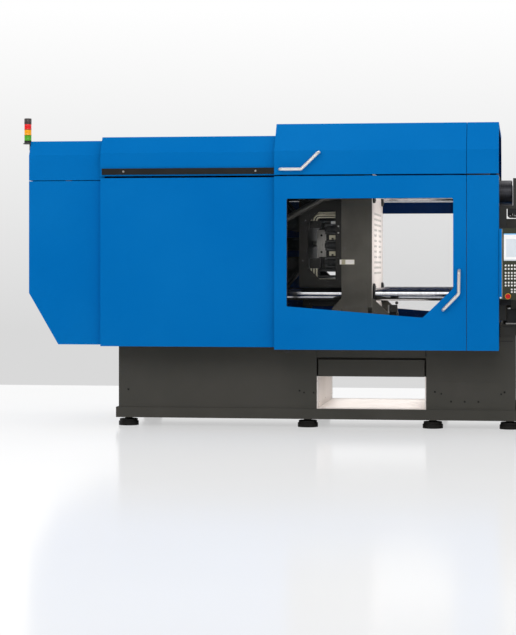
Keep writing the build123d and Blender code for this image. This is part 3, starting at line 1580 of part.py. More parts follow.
# Control panel: moulded housing that turns on the post, with a recess for the display and a button collar
panel_back_y = panel_depth - panel_face
panel_right_x = panel_left_x + panel_width
display_high_z = panel_high_z - display_high
display_left_x = panel_left_x + display_inset_x
with BuildPart() as control_panel:
    slab((panel_left_x, -panel_face, panel_low_z), (panel_right_x, panel_back_y, panel_high_z))
    fillet(control_panel.edges().filter_by(Axis.Y), panel_corner)
    slab(
        (
            panel_centre_x - panel_post_diameter,
            panel_back_y,
            panel_low_z,
        ),
        (
            panel_centre_x + panel_post_diameter,
            panel_post_diameter - panel_post_y,
            panel_low_z + panel_post_rise + 2 * seam,
        ),
    )
    slab(
        (display_left_x, -panel_face, display_high_z - display_height),
        (display_left_x + display_width, display_thickness - panel_face, display_high_z),
        mode=Mode.SUBTRACT,
    )
    post(
        (panel_centre_x, -panel_post_y, panel_low_z),
        panel_post_rise + seam / 2,
        panel_post_diameter / 2 + 2 * pin_gap,
        mode=Mode.SUBTRACT,
    )
    stop_bore = stop_stem_diameter / 2 + running_gap
    with BuildSketch(facing_rear(-panel_face)):
        with Locations((stop_x, stop_z)):
            Rectangle(stop_plate, stop_plate)
    extrude(amount=stop_plate_thickness)
    with BuildSketch(facing_rear(-panel_face - stop_plate_thickness)):
        with Locations((stop_x, stop_z)):
            Circle(stop_collar_diameter / 2)
    extrude(amount=stop_plate_thickness)
    with BuildSketch(facing_rear(-panel_face + panel_depth / 2)):
        with Locations((stop_x, stop_z)):
            Circle(stop_bore)
    extrude(amount=panel_depth, mode=Mode.SUBTRACT)
control_panel.part.label = "control_panel"
export_step(control_panel.part, "parts/control_panel.step")

with BuildPart() as panel_display:
    slab(
        (display_left_x + fit_gap, -panel_face, display_high_z - display_height + fit_gap),
        (display_left_x + display_width - fit_gap, display_thickness - panel_face, display_high_z - fit_gap),
    )
panel_display.part.label = "panel_display"
export_step(panel_display.part, "parts/panel_display.step")

# Stop button: mushroom head on a stem that is pressed into the panel
stop_head_y = -panel_face - 2 * stop_plate_thickness - stop_travel - running_gap
with BuildPart() as stop_button:
    with BuildSketch(facing_rear(stop_head_y)):
        with Locations((stop_x, stop_z)):
            Circle(stop_head_diameter / 2)
    extrude(amount=stop_head_height)
    fillet(stop_button.faces().sort_by(Axis.Y)[0].edges(), edge_round)
    with BuildSketch(facing_rear(panel_depth / 2 - panel_face - stop_travel - running_gap)):
        with Locations((stop_x, stop_z)):
            Circle(stop_stem_diameter / 2)
    extrude(amount=panel_depth / 2 - panel_face - stop_travel - running_gap - stop_head_y)
stop_button.part.label = "stop_button"
export_step(stop_button.part, "parts/stop_button.step")

# Service box: upright bar on the fixed platen's side, a shelf, a closed box beside the tie bar nut, and
# two hose loops under the shelf
bar_front_y = -platen_half_width - service_bar_thickness
with BuildPart() as service_box:
    slab(
        (service_bar_left_x, bar_front_y, service_bar_low_z),
        (service_bar_right_x, -platen_half_width, service_shelf_z),
    )
    slab(
        (service_bar_left_x, bar_front_y, service_shelf_z),
        (service_box_left_x + service_box_length, -platen_half_width, service_shelf_z + service_shelf_height),
    )
    slab(
        (service_box_left_x, bar_front_y, service_shelf_z),
        (
            service_box_left_x + service_box_length,
            bar_front_y + service_box_depth,
            service_shelf_z + service_shelf_height + service_box_height,
        ),
    )
    for index in range(2):
        hose_x = service_hose_left_x + index * service_hose_pitch
        hose_y = bar_front_y + (1 + 2 * index) * service_hose_diameter
        hose(
            [
                (hose_x, hose_y, service_shelf_z),
                (hose_x, hose_y, service_shelf_z - service_hose_drop),
                (hose_x + service_hose_span, hose_y, service_shelf_z - service_hose_drop),
                (hose_x + service_hose_span, hose_y, service_shelf_z),
            ],
            service_hose_diameter,
            service_hose_diameter,
        )
service_box.part.label = "service_box"
export_step(service_box.part, "parts/service_box.step")

# Injection carriage: base on the rails, feed housing, rear plate and two drive rods
carriage_low_z = injection_rail_top + running_gap
carriage_deck_z = carriage_low_z + carriage_base_height
housing_low_z = axis_height - feed_housing_half_height
housing_high_z = axis_height + feed_housing_half_height
with BuildPart() as injection_carriage:
    slab(
        (carriage_front_x, -carriage_half_width, carriage_low_z),
        (carriage_back_x, carriage_half_width, carriage_deck_z),
    )
    slab(
        (feed_housing_x, -pedestal_half_width, carriage_deck_z),
        (feed_housing_x + feed_housing_length, pedestal_half_width, housing_low_z),
    )
    slab(
        (feed_housing_x, -feed_housing_half_width, housing_low_z),
        (feed_housing_x + feed_housing_length, feed_housing_half_width, housing_high_z),
    )
    slab(
        (rear_plate_x, -feed_housing_half_width, carriage_deck_z),
        (rear_plate_x + rear_plate_thickness, feed_housing_half_width, housing_high_z),
    )
    chamfer(injection_carriage.edges().filter_by(Axis.X).group_by(Axis.Z)[-1], platen_chamfer)
    for side in (-1, 1):
        rod(
            (feed_housing_x + feed_housing_length, side * drive_rod_y, axis_height),
            rear_plate_x - feed_housing_x - feed_housing_length,
            drive_rod_diameter,
        )
    rod(
        (feed_housing_x, 0, axis_height),
        feed_housing_length,
        barrel_diameter + 2 * fit_gap,
        mode=Mode.SUBTRACT,
    )
    post(
        (hopper_x, 0, axis_height),
        feed_housing_half_height,
        hopper_throat - 2 * hopper_wall,
        mode=Mode.SUBTRACT,
    )
injection_carriage.part.label = "injection_carriage"
export_step(injection_carriage.part, "parts/injection_carriage.step")

# Barrel with its nozzle: bored tube in the feed housing, with a feed port under the hopper
bore_front_x = barrel_start_x + nozzle_shank
with BuildPart() as injection_barrel:
    with BuildSketch(facing_rear(0)):
        with BuildLine():
            Polyline(
                (nozzle_tip_x, axis_height + nozzle_bore_small / 2),
                (nozzle_tip_x, axis_height + nozzle_tip_diameter / 2),
                (nozzle_tip_x + nozzle_shank, axis_height + nozzle_base_diameter / 2),
                (barrel_start_x, axis_height + nozzle_base_diameter / 2),
                (barrel_start_x, axis_height + barrel_diameter / 2),
                (feed_housing_x + feed_housing_length, axis_height + barrel_diameter / 2),
                (feed_housing_x + feed_housing_length, axis_height + barrel_bore / 2),
                (bore_front_x + screw_tip_length, axis_height + barrel_bore / 2),
                (bore_front_x, axis_height + nozzle_bore_small / 2),
                close=True,
            )
        make_face()
    revolve(axis=Axis((0, 0, axis_height), (1, 0, 0)))
    post(
        (hopper_x, 0, axis_height),
        barrel_diameter,
        barrel_bore,
        mode=Mode.SUBTRACT,
    )
injection_barrel.part.label = "injection_barrel"
export_step(injection_barrel.part, "parts/injection_barrel.step")

# Heater bands: split rings along the barrel
with BuildPart() as heater_bands:
    for index in range(band_count):
        band_x = barrel_start_x + seam + index * band_pitch
        rod((band_x, 0, axis_height), band_length, barrel_diameter + 2 * band_thickness)
        rod((band_x, 0, axis_height), band_length, barrel_diameter + 2 * fit_gap, mode=Mode.SUBTRACT)
heater_bands.part.label = "heater_bands"
export_step(heater_bands.part, "parts/heater_bands.step")

# Injection drive: block on the drive rods with its motor behind it
drive_block_back_x = drive_block_x + drive_block_length
with BuildPart() as injection_drive:
    slab(
        (drive_block_x, -feed_housing_half_width, axis_height - drive_block_half_height),
        (drive_block_back_x, feed_housing_half_width, axis_height + drive_block_half_height),
    )
    chamfer(injection_drive.edges().filter_by(Axis.X), platen_chamfer)
    for side in (-1, 1):
        rod(
            (drive_block_x, side * drive_rod_y, axis_height),
            drive_block_length,
            drive_rod_diameter + 2 * running_gap,
            mode=Mode.SUBTRACT,
        )
    rod((drive_block_back_x, 0, axis_height), motor_length, motor_diameter)
    with BuildSketch(Plane.YZ.offset(drive_block_back_x)):
        with Locations((0, axis_height)):
            with PolarLocations(motor_diameter / 2, motor_fin_count):
                Rectangle(2 * motor_fin_depth, motor_fin_width)
    extrude(amount=motor_length)
    rod(
        (drive_block_x, 0, axis_height),
        screw_coupling_length / 2 + seam,
        screw_coupling_diameter + 2 * running_gap,
        mode=Mode.SUBTRACT,
    )
injection_drive.part.label = "injection_drive"
export_step(injection_drive.part, "parts/injection_drive.step")

# Plasticising screw: tip, shank and coupling in one turned line, drawn back by its full stroke at rest
screw_tip_x = bore_front_x + drive_travel + screw_end_gap
with BuildPart() as injection_screw:
    with BuildSketch(facing_rear(0)):
        with BuildLine():
            Polyline(
                (screw_tip_x, axis_height),
                (screw_tip_x + screw_tip_length, axis_height + screw_diameter / 2),
                (drive_block_x - screw_coupling_length / 2, axis_height + screw_diameter / 2),
                (drive_block_x - screw_coupling_length / 2, axis_height + screw_coupling_diameter / 2),
                (drive_block_x + screw_coupling_length / 2, axis_height + screw_coupling_diameter / 2),
                (drive_block_x + screw_coupling_length / 2, axis_height),
                close=True,
            )
        make_face()
    revolve(axis=Axis((0, 0, axis_height), (1, 0, 0)))
injection_screw.part.label = "injection_screw"
export_step(injection_screw.part, "parts/injection_screw.step")

# Hopper: flange, neck, cone and cylinder of sheet, open at the top inside a turned-out rim
hopper_cone_z = housing_high_z + hopper_flange_height + hopper_neck_height
hopper_cylinder_z = hopper_cone_z + hopper_cone_height
hopper_top_z = hopper_cylinder_z + hopper_cylinder_height
with BuildPart() as hopper:
    with BuildSketch(facing_rear(0)):
        with BuildLine():
            Polyline(
                (hopper_x + hopper_throat / 2 - hopper_wall, housing_high_z),
                (hopper_x + hopper_flange / 2, housing_high_z),
                (hopper_x + hopper_flange / 2, housing_high_z + hopper_flange_height),
                (hopper_x + hopper_throat / 2, housing_high_z + hopper_flange_height),
                (hopper_x + hopper_throat / 2, hopper_cone_z),
                (hopper_x + hopper_mouth / 2, hopper_cylinder_z),
                (hopper_x + hopper_mouth / 2, hopper_top_z - hopper_rim_height),
                (hopper_x + hopper_mouth / 2 + hopper_rim, hopper_top_z - hopper_rim_height),
                (hopper_x + hopper_mouth / 2 + hopper_rim, hopper_top_z),
                (hopper_x + hopper_mouth / 2 - hopper_wall, hopper_top_z),
                (hopper_x + hopper_mouth / 2 - hopper_wall, hopper_cylinder_z),
                (hopper_x + hopper_throat / 2 - hopper_wall, hopper_cone_z),
                close=True,
            )
        make_face()
    revolve(axis=Axis((hopper_x, 0, 0), (0, 0, 1)))
hopper.part.label = "hopper"
export_step(hopper.part, "parts/hopper.step")

# Purge guard: folded cover over the nozzle that lifts on two lugs at the fixed platen
purge_hinge_z = purge_high_z + purge_knuckle_diameter / 2
purge_lug_y = purge_half_width - 2 * purge_lug_width
purge_slot_half = barrel_diameter / 2 + 2 * band_thickness
with BuildPart() as purge_guard:
    slab(
        (purge_left_x, -purge_half_width, purge_low_z),
        (purge_right_x, purge_half_width, purge_high_z),
    )
    slab(
        (purge_left_x, sheet - purge_half_width, purge_low_z),
        (purge_right_x - sheet, purge_half_width - sheet, purge_high_z - sheet),
        mode=Mode.SUBTRACT,
    )
    with BuildSketch(Plane.YZ.offset(purge_right_x - sheet)):
        with BuildLine():
            Polyline(
                (-purge_slot_half, purge_low_z),
                (-purge_slot_half, axis_height + purge_slot_half - purge_slot_corner),
                (purge_slot_corner - purge_slot_half, axis_height + purge_slot_half),
                (purge_slot_half - purge_slot_corner, axis_height + purge_slot_half),
                (purge_slot_half, axis_height + purge_slot_half - purge_slot_corner),
                (purge_slot_half, purge_low_z),
                close=True,
            )
        make_face()
    extrude(amount=sheet, mode=Mode.SUBTRACT)
    for side in (-1, 1):
        lug_ys = sorted((side * purge_lug_y, side * (purge_lug_y + purge_lug_width)))
        with BuildSketch(facing_rear(lug_ys[1])):
            with Locations((purge_hinge_x, purge_hinge_z)):
                Circle(purge_knuckle_diameter / 2)
            with Locations((purge_hinge_x, purge_high_z)):
                Rectangle(purge_knuckle_diameter, purge_knuckle_diameter / 2, align=(Align.CENTER, Align.MIN))
            with Locations((purge_hinge_x, purge_hinge_z)):
                Circle(purge_hinge_diameter / 2 + pin_gap, mode=Mode.SUBTRACT)
        extrude(amount=purge_lug_width)
purge_guard.part.label = "purge_guard"
export_step(purge_guard.part, "parts/purge_guard.step")

# Purge hinge: pairs of lugs on the fixed platen's back with a pin through each pair
purge_lug_pitch = purge_lug_width + running_gap
purge_hinge_y = purge_lug_y - purge_lug_pitch
purge_pin_end_y = purge_lug_y + purge_lug_pitch + purge_lug_width
with BuildPart() as purge_hinge:
    for side in (-1, 1):
        for inner_y in (purge_hinge_y, purge_hinge_y + 2 * purge_lug_pitch):
            lug_ys = sorted((side * inner_y, side * (inner_y + purge_lug_width)))
            slab(
                (fixed_platen_back_x, lug_ys[0], purge_hinge_z - purge_knuckle_diameter / 2),
                (purge_hinge_x, lug_ys[1], purge_hinge_z + purge_knuckle_diameter / 2),
            )
            with BuildSketch(facing_rear(lug_ys[1])):
                with Locations((purge_hinge_x, purge_hinge_z)):
                    Circle(purge_knuckle_diameter / 2)
            extrude(amount=purge_lug_width)
        pin_ys = sorted((side * purge_hinge_y, side * purge_pin_end_y))
        with BuildSketch(facing_rear(pin_ys[1])):
            with Locations((purge_hinge_x, purge_hinge_z)):
                Circle(purge_hinge_diameter / 2)
        extrude(amount=pin_ys[1] - pin_ys[0])
purge_hinge.part.label = "purge_hinge"
export_step(purge_hinge.part, "parts/purge_hinge.step")
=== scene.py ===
import math

import bmesh
import bpy
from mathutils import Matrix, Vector


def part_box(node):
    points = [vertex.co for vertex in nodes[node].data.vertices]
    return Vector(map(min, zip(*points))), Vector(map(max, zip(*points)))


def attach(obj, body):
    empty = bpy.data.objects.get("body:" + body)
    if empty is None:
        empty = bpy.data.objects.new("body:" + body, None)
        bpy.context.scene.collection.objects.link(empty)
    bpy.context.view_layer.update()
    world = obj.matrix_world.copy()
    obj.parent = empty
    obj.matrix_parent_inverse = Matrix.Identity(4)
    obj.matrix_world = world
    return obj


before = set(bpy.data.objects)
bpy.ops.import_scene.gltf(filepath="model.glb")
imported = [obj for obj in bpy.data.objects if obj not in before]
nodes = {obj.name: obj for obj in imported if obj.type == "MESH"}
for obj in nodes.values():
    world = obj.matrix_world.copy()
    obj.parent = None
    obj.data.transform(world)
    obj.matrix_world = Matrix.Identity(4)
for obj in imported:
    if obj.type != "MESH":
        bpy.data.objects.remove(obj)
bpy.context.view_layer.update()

# Looks of the injection moulding machine, in metres: X along the machine, Y to the rear, Z up
scene = bpy.context.scene
scene.view_settings.view_transform = "Standard"
axisHeight = sum(corner.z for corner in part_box("clamp_rod")) / 2

# Camera: level and far back, turned a little to the left, so that uprights stay upright
cameraValues = {
    "place": (0.0626, -16.0, 1.3445),
    "turnDegrees": 7.373,
    "lens": 107.5,
    "sensor": 36,
    "shift": (-0.03, -0.086),
    "farthest": 200,
}
cameraData = bpy.data.cameras.new("camera")
cameraData.lens = cameraValues["lens"]
cameraData.sensor_width = cameraValues["sensor"]
cameraData.shift_x, cameraData.shift_y = cameraValues["shift"]
cameraData.clip_end = cameraValues["farthest"]
camera = bpy.data.objects.new("camera", cameraData)
camera.location = cameraValues["place"]
camera.rotation_euler = (math.radians(90), 0, math.radians(cameraValues["turnDegrees"]))
scene.collection.objects.link(camera)
scene.camera = camera
print("camera ready")


def linearColour(hexText, alpha=1.0):  # sRGB hex to the linear values that the shaders take
    channels = [int(hexText[place:place + 2], 16) / 255 for place in (1, 3, 5)]
    straight = [c / 12.92 if c <= 0.04045 else ((c + 0.055) / 1.055) ** 2.4 for c in channels]
    return (*straight, alpha)


def perMetre(millimetres):  # texture scale at which one pattern cell is this long
    return 1000 / millimetres


def addNode(tree, kind, settings=None, links=None):
    node = tree.nodes.new("ShaderNode" + kind)
    for key, value in (settings or {}).items():
        if isinstance(key, int) or key in node.inputs:
            node.inputs[key].default_value = value
        else:
            setattr(node, key, value)
    for key, (source, outlet) in (links or {}).items():
        tree.links.new(source.outputs[outlet], node.inputs[key])
    return node


def addMath(tree, operation, *values):  # a sum of numbers or of other nodes' outlets
    numbers = {place: value for place, value in enumerate(values) if not isinstance(value, tuple)}
    outlets = {place: value for place, value in enumerate(values) if isinstance(value, tuple)}
    return addNode(tree, "Math", {"operation": operation, **numbers}, outlets), "Value"


def addNoise(tree, place, millimetres, detail, roughness=0.5):
    settings = {"Scale": perMetre(millimetres), "Detail": detail, "Roughness": roughness}
    return addNode(tree, "TexNoise", settings, {"Vector": (place, "Object")}), "Fac"


def addRamp(tree, source, tones, interpolation="LINEAR"):  # colours at places along a value from 0 to 1
    node = addNode(tree, "ValToRGB", links={"Fac": source})
    ramp = node.color_ramp
    ramp.interpolation = interpolation
    first, *middle, last = sorted(tones)
    ramp.elements[0].position, ramp.elements[1].position = first, last
    ramp.elements[0].color, ramp.elements[1].color = linearColour(tones[first]), linearColour(tones[last])
    for position in middle:
        ramp.elements.new(position).color = linearColour(tones[position])
    return node, "Color"


def startMaterial(name):
    material = bpy.data.materials.new(name)
    material.use_nodes = True
    tree = material.node_tree
    tree.nodes.clear()
    surface = addNode(tree, "BsdfPrincipled")
    addNode(tree, "OutputMaterial", links={"Surface": (surface, "BSDF")})
    place = addNode(tree, "TexCoord")
    return material, tree, surface, place


def setPlain(surface, **values):  # constant values, with spaces for the capitals in their names
    for key, value in values.items():
        surface.inputs[key.replace("_", " ")].default_value = value


def addTone(tree, surface, source, dark, light, low=0.35, high=0.65):  # colour drifts between two tones
    spread = addNode(tree, "MapRange", {"From Min": low, "From Max": high}, {"Value": source})
    tones = {"data_type": "RGBA", 6: linearColour(dark), 7: linearColour(light)}
    tone = addNode(tree, "Mix", tones, {0: (spread, "Result")})
    tree.links.new(tone.outputs[2], surface.inputs["Base Color"])


def addRelief(tree, surface, source, depth):  # bump of a real depth in millimetres
    relief = addNode(tree, "Bump", {"Strength": 1.0, "Distance": depth / 1000}, {"Height": source})
    tree.links.new(relief.outputs["Normal"], surface.inputs["Normal"])


def addGloss(tree, surface, source, low, high):  # roughness wanders between two values
    span = {"From Min": 0.3, "From Max": 0.7, "To Min": low, "To Max": high}
    gloss = addNode(tree, "MapRange", span, {"Value": source})
    tree.links.new(gloss.outputs["Result"], surface.inputs["Roughness"])


def addLimit(tree, place, axis, way, limit):  # 1 on one side of a plane across the object, 0 on the other
    split = addNode(tree, "SeparateXYZ", links={"Vector": (place, "Object")})
    return addMath(tree, "GREATER_THAN" if way > 0 else "LESS_THAN", (split, axis), limit)


def addOver(tree, surface, socket, mask, value):  # another value of a socket where the mask is 1
    colour = isinstance(value, str)
    kind, shown = ("RGBA", linearColour(value)) if colour else ("FLOAT", value)
    first, second, outlet = (6, 7, 2) if colour else (2, 3, 0)
    over = addNode(tree, "Mix", {"data_type": kind, second: shown}, {0: mask})
    before = surface.inputs[socket]
    if before.is_linked:
        tree.links.new(before.links[0].from_socket, over.inputs[first])
    else:
        over.inputs[first].default_value = before.default_value
    tree.links.new(over.outputs[outlet], before)


shellValues = {"middleHeight": 1.45, "leastReach": 0.05}


def addInside(tree, place):  # 1 on the sheets' backs, the faces that look towards the machine's middle
    middle = (0, 0, shellValues["middleHeight"])
    outward = addNode(tree, "VectorMath", {"operation": "SUBTRACT", 1: middle}, {0: (place, "Object")})
    across = addNode(tree, "VectorMath", {"operation": "MULTIPLY", 1: (0, 1, 1)}, {0: (outward, "Vector")})
    sides = {0: (across, "Vector"), 1: (place, "Normal")}
    facing = addNode(tree, "VectorMath", {"operation": "DOT_PRODUCT"}, sides)
    return addMath(tree, "LESS_THAN", (facing, "Value"), -shellValues["leastReach"])


def paintedMetal(name, values):
    # Sprayed coat over steel or iron: a faint drift of tone and the fine skin of the dried coat
    material, tree, surface, place = startMaterial(name)
    drift = addNoise(tree, place, values["driftLength"], 3)
    skin = addNoise(tree, place, values["skinGrain"], 4, 0.6)
    addTone(tree, surface, drift, *values["tones"])
    addGloss(tree, surface, skin, *values["roughness"])
    addRelief(tree, surface, skin, values["skinDepth"])
    setPlain(surface, IOR=1.5, Specular_IOR_Level=values["specular"])
    # Painted shade: the sheets' backs, towards the machine's middle, get a darker tone
    if "insideShadeTone" in values:
        addOver(tree, surface, "Base Color", addInside(tree, place), values["insideShadeTone"])
    # Painted shade: a darker tone beyond a plane across the object
    if "paintedShadeFrom" in values:
        addOver(tree, surface, "Base Color", addLimit(tree, place, *values["paintedShadeFrom"]), values["paintedShadeTone"])
    if "bareFrom" in values:
        bare = addLimit(tree, place, *values["bareFrom"])
        for socket, value in values["bare"].items():
            addOver(tree, surface, socket, bare, value)
    return material


def workedMetal(name, values):
    # Bare metal: fine tool lines along one direction, in tone, gloss and relief
    material, tree, surface, place = startMaterial(name)
    size = {"Scale": [perMetre(length) for length in values["lineSize"]]}
    stretch = addNode(tree, "Mapping", size, {"Vector": (place, "Object")})
    lines = addNode(tree, "TexNoise", {"Scale": 1.0, "Detail": 4}, {"Vector": (stretch, "Vector")}), "Fac"
    addTone(tree, surface, lines, *values["tones"])
    addGloss(tree, surface, lines, *values["roughness"])
    addRelief(tree, surface, lines, values["lineDepth"])
    setPlain(surface, Metallic=values["metallic"])
    return material


def mouldedPlastic(name, values, wanderLength=90):
    # Injection-moulded skin: even tone with a spark-eroded grain
    material, tree, surface, place = startMaterial(name)
    grain = addNode(tree, "TexVoronoi", {"Scale": perMetre(values["grain"])}, {"Vector": (place, "Object")})
    wander = addNoise(tree, place, wanderLength, 3)
    addTone(tree, surface, wander, *values["tones"])
    addGloss(tree, surface, wander, *values["roughness"])
    addRelief(tree, surface, (grain, "Distance"), values["grainDepth"])
    setPlain(surface, IOR=1.46)
    return material


# Polyester powder coat on folded sheet steel, baked on: an even satin blue with a faint orange peel,
# drawn coarser than the real 2 mm so that it shows at all, and a dark navy of painted shade on the sheets'
# backs
guardPaint = paintedMetal("powder_coated_sheet_steel_blue", {
    "tones": ("#0069B2", "#046DB5"), "driftLength": 900, "skinGrain": 6, "skinDepth": 0.12,
    "roughness": (0.42, 0.52), "specular": 0.015, "insideShadeTone": "#0E3876",
})
# Two-part structure paint on the welded frame and its panels: dark warm grey, finely pebbled and nearly matt
framePaint = paintedMetal("structure_paint_dark_grey", {
    "tones": ("#464540", "#4C4A45"), "driftLength": 500, "skinGrain": 5, "skinDepth": 0.4,
    "roughness": (0.55, 0.68), "specular": 0.12,
})
# The frame's grey, a little lighter as painted light against the shade inside the guards, brushed over
# sand-cast iron: the sand skin shows through as a soft unevenness
castValues = {
    "tones": ("#4A4741", "#56534C"), "driftLength": 160, "skinGrain": 14, "skinDepth": 0.9,
    "roughness": (0.5, 0.65), "specular": 0.15,
}
# Both mould plates in this iron, with a bare face milled bright for the mould. The box behind the moving
# plate has painted shade: a darker tone beyond the plate's thickness, deep inside the machine
milledValues = {
    "face": {"Base Color": "#EDE3DC", "Metallic": 0.1, "Roughness": 0.34},
    "skin": 0.0025,
    "movingPlateThickness": 0.2525,
    "paintedShadeTone": "#23211E",
}
movingFaceX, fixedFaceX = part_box("moving_platen")[1].x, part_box("fixed_platen")[0].x
movingIron = paintedMetal("painted_cast_iron_with_milled_face_right", {
    **castValues, "bareFrom": ("X", 1, movingFaceX - milledValues["skin"]), "bare": milledValues["face"],
    "paintedShadeFrom": ("X", -1, movingFaceX - milledValues["movingPlateThickness"]),
    "paintedShadeTone": milledValues["paintedShadeTone"],
})
fixedIron = paintedMetal("painted_cast_iron_with_milled_face_left", {
    **castValues, "bareFrom": ("X", -1, fixedFaceX + milledValues["skin"]), "bare": milledValues["face"],
})
# Shoes under the moving plate in the same paint, with a black nylon switch on their right end
switchLength = 0.0572
shoeIron = paintedMetal("painted_cast_iron_with_nylon_switch", {
    **castValues, "bareFrom": ("X", 1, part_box("platen_shoes")[1].x - switchLength),
    "bare": {"Base Color": "#141413", "Roughness": 0.5},
})
# Toggle links and the plate behind them: the same iron, near black as painted shade deep inside the machine
shadeDarkenedIron = paintedMetal("painted_iron_with_painted_shade", {**castValues, "tones": ("#141312", "#1E1C1A")})
# Black satin enamel on rails and the cylinder: smooth, with a soft shine
blackEnamel = paintedMetal("black_enamel_on_steel", {
    "tones": ("#161512", "#1E1C19"), "driftLength": 300, "skinGrain": 8, "skinDepth": 0.1,
    "roughness": (0.38, 0.5), "specular": 0.2,
})
# Pale grey powder coat of the chute's folded liner: clean and bright, so that mouldings show in it
linerPaint = paintedMetal("powder_coated_liner_pale_grey", {
    "tones": ("#E4DBD4", "#EEE5DF"), "driftLength": 400, "skinGrain": 6, "skinDepth": 0.15,
    "roughness": (0.4, 0.5), "specular": 0.3,
})
# Tie bars and rods, ground and hard chromed: mirror bright with hair-fine rings round the bar
groundChrome = workedMetal("ground_hard_chrome", {
    "tones": ("#B9BABF", "#DEDFE2"), "lineSize": (3, 60, 60), "lineDepth": 0.01,
    "roughness": (0.1, 0.2), "metallic": 1.0,
})
# Milled and turned steel of rails, barrel, hinge and screws: grey with faint cutter lines
machinedSteel = workedMetal("machined_carbon_steel", {
    "tones": ("#8D8B87", "#B5B2AC"), "lineSize": (4, 4, 90), "lineDepth": 0.04,
    "roughness": (0.26, 0.42), "metallic": 1.0,
})
# Nuts and screws turned from bar and blackened in hot oxide salts: near black, turning lines still in it
blackOxide = workedMetal("black_oxide_turned_steel", {
    "tones": ("#48474A", "#5C5B5E"), "lineSize": (3, 40, 40), "lineDepth": 0.03,
    "roughness": (0.34, 0.46), "metallic": 0.6,
})
# Pivot pins, hardened and phosphated: dull charcoal under a film of grease
phosphatedSteel = workedMetal("phosphated_hardened_steel", {
    "tones": ("#211F1E", "#302E2B"), "lineSize": (40, 5, 40), "lineDepth": 0.02,
    "roughness": (0.5, 0.62), "metallic": 0.4,
})
# Stainless tube of the handles, brushed along its length and then satin polished
brushedTube = workedMetal("brushed_stainless_tube", {
    "tones": ("#DAD5D0", "#EEE9E4"), "lineSize": (60, 2, 2), "lineDepth": 0.01,
    "roughness": (0.3, 0.36), "metallic": 0.75,
})
# Mouths of tapped holes, seen at a low angle: steel with the grey of the thread's flanks
threadedSteel = workedMetal("tapped_steel_hole_mouths", {
    "tones": ("#7E7872", "#928B84"), "lineSize": (4, 4, 4), "lineDepth": 0.02,
    "roughness": (0.45, 0.55), "metallic": 0.3,
})
# Hydraulic tube, drawn steel, zinc plated and olive passivated: satin with a yellowish cast
platedTube = workedMetal("olive_passivated_steel_tube", {
    "tones": ("#A39E8A", "#C6C0AC"), "lineSize": (4, 40, 4), "lineDepth": 0.01,
    "roughness": (0.24, 0.34), "metallic": 0.5,
})
# Rolled stainless sheet of the heater bands and the hopper, with its grain along the roll
rolledStainless = workedMetal("rolled_stainless_sheet", {
    "tones": ("#A8A7A2", "#CBC9C3"), "lineSize": (80, 4, 4), "lineDepth": 0.03,
    "roughness": (0.28, 0.4), "metallic": 1.0,
})
# Glass-filled nylon of boxes, plugs and guides, moulded: black, dry and slightly grained
blackNylon = mouldedPlastic("moulded_black_nylon", {
    "tones": ("#161615", "#20201E"), "grain": 3, "grainDepth": 0.15, "roughness": (0.4, 0.55),
})
# Ribbed polyamide pipe of the conduit: charcoal, a little greyer than the coils
greyNylon = mouldedPlastic("extruded_grey_nylon", {
    "tones": ("#3C3A36", "#484640"), "grain": 3, "grainDepth": 0.1, "roughness": (0.4, 0.5),
})
# ABS face of the control panel, moulded and spark eroded: a very dark olive
panelPlastic = mouldedPlastic("moulded_abs_dark_olive", {
    "tones": ("#252A17", "#2B301C"), "grain": 2, "grainDepth": 0.1, "roughness": (0.42, 0.55),
})
# Gloss ABS of the stop button's head
redPlastic = mouldedPlastic("moulded_abs_gloss_red", {
    "tones": ("#B0181B", "#C4211F"), "grain": 8, "grainDepth": 0.02, "roughness": (0.16, 0.24),
})
# Yellow backing plate behind the stop button
yellowPlastic = mouldedPlastic("moulded_abs_yellow", {
    "tones": ("#D9A90E", "#E8BC1C"), "grain": 4, "grainDepth": 0.03, "roughness": (0.3, 0.4),
})
# Silicone of the keys, knob and caps: soft white, matt from handling
keyRubber = mouldedPlastic("moulded_silicone_white", {
    "tones": ("#DDDDDA", "#EFEFEC"), "grain": 2, "grainDepth": 0.04, "roughness": (0.5, 0.62),
})
# Nitrile rubber of the wipers, coil jackets and dark joints: dull black
nitrileRubber = mouldedPlastic("moulded_nitrile_rubber", {
    "tones": ("#0E0E0D", "#171716"), "grain": 3, "grainDepth": 0.12, "roughness": (0.6, 0.75),
})
# Undyed sand-coloured polyamide of plain plates and trim
sandNylon = mouldedPlastic("moulded_nylon_sand", {
    "tones": ("#9A9278", "#B0A88C"), "grain": 3, "grainDepth": 0.1, "roughness": (0.45, 0.58),
})


def makeValveStack(values):
    # Moulded nylon of two colours: black coils and hoses, and sand-coloured plugs between the coils
    material, tree, surface, place = startMaterial("moulded_nylon_coils_and_plugs")
    grain = addNoise(tree, place, values["grain"], 3)
    addTone(tree, surface, grain, *values["coilTones"])
    addGloss(tree, surface, grain, *values["roughness"])
    addRelief(tree, surface, grain, values["grainDepth"])
    split = addNode(tree, "SeparateXYZ", links={"Vector": (place, "Object")})
    for rise in values["plugRises"]:
        away = addMath(tree, "SUBTRACT", (split, "Z"), axisHeight + rise)
        near = addMath(tree, "LESS_THAN", addMath(tree, "ABSOLUTE", away), values["plugHalf"])
        addOver(tree, surface, "Base Color", near, values["plugTone"])
    setPlain(surface, IOR=1.53)
    return material


# Glass-filled nylon of the coils and hoses, dry and black, with plugs in undyed sand-coloured nylon
valveStack = makeValveStack({
    "coilTones": ("#121211", "#1B1B19"), "grain": 30, "grainDepth": 0.2, "roughness": (0.4, 0.55),
    "plugTone": "#A9A38A", "plugRises": (0.049, -0.084), "plugHalf": 0.0185,
})


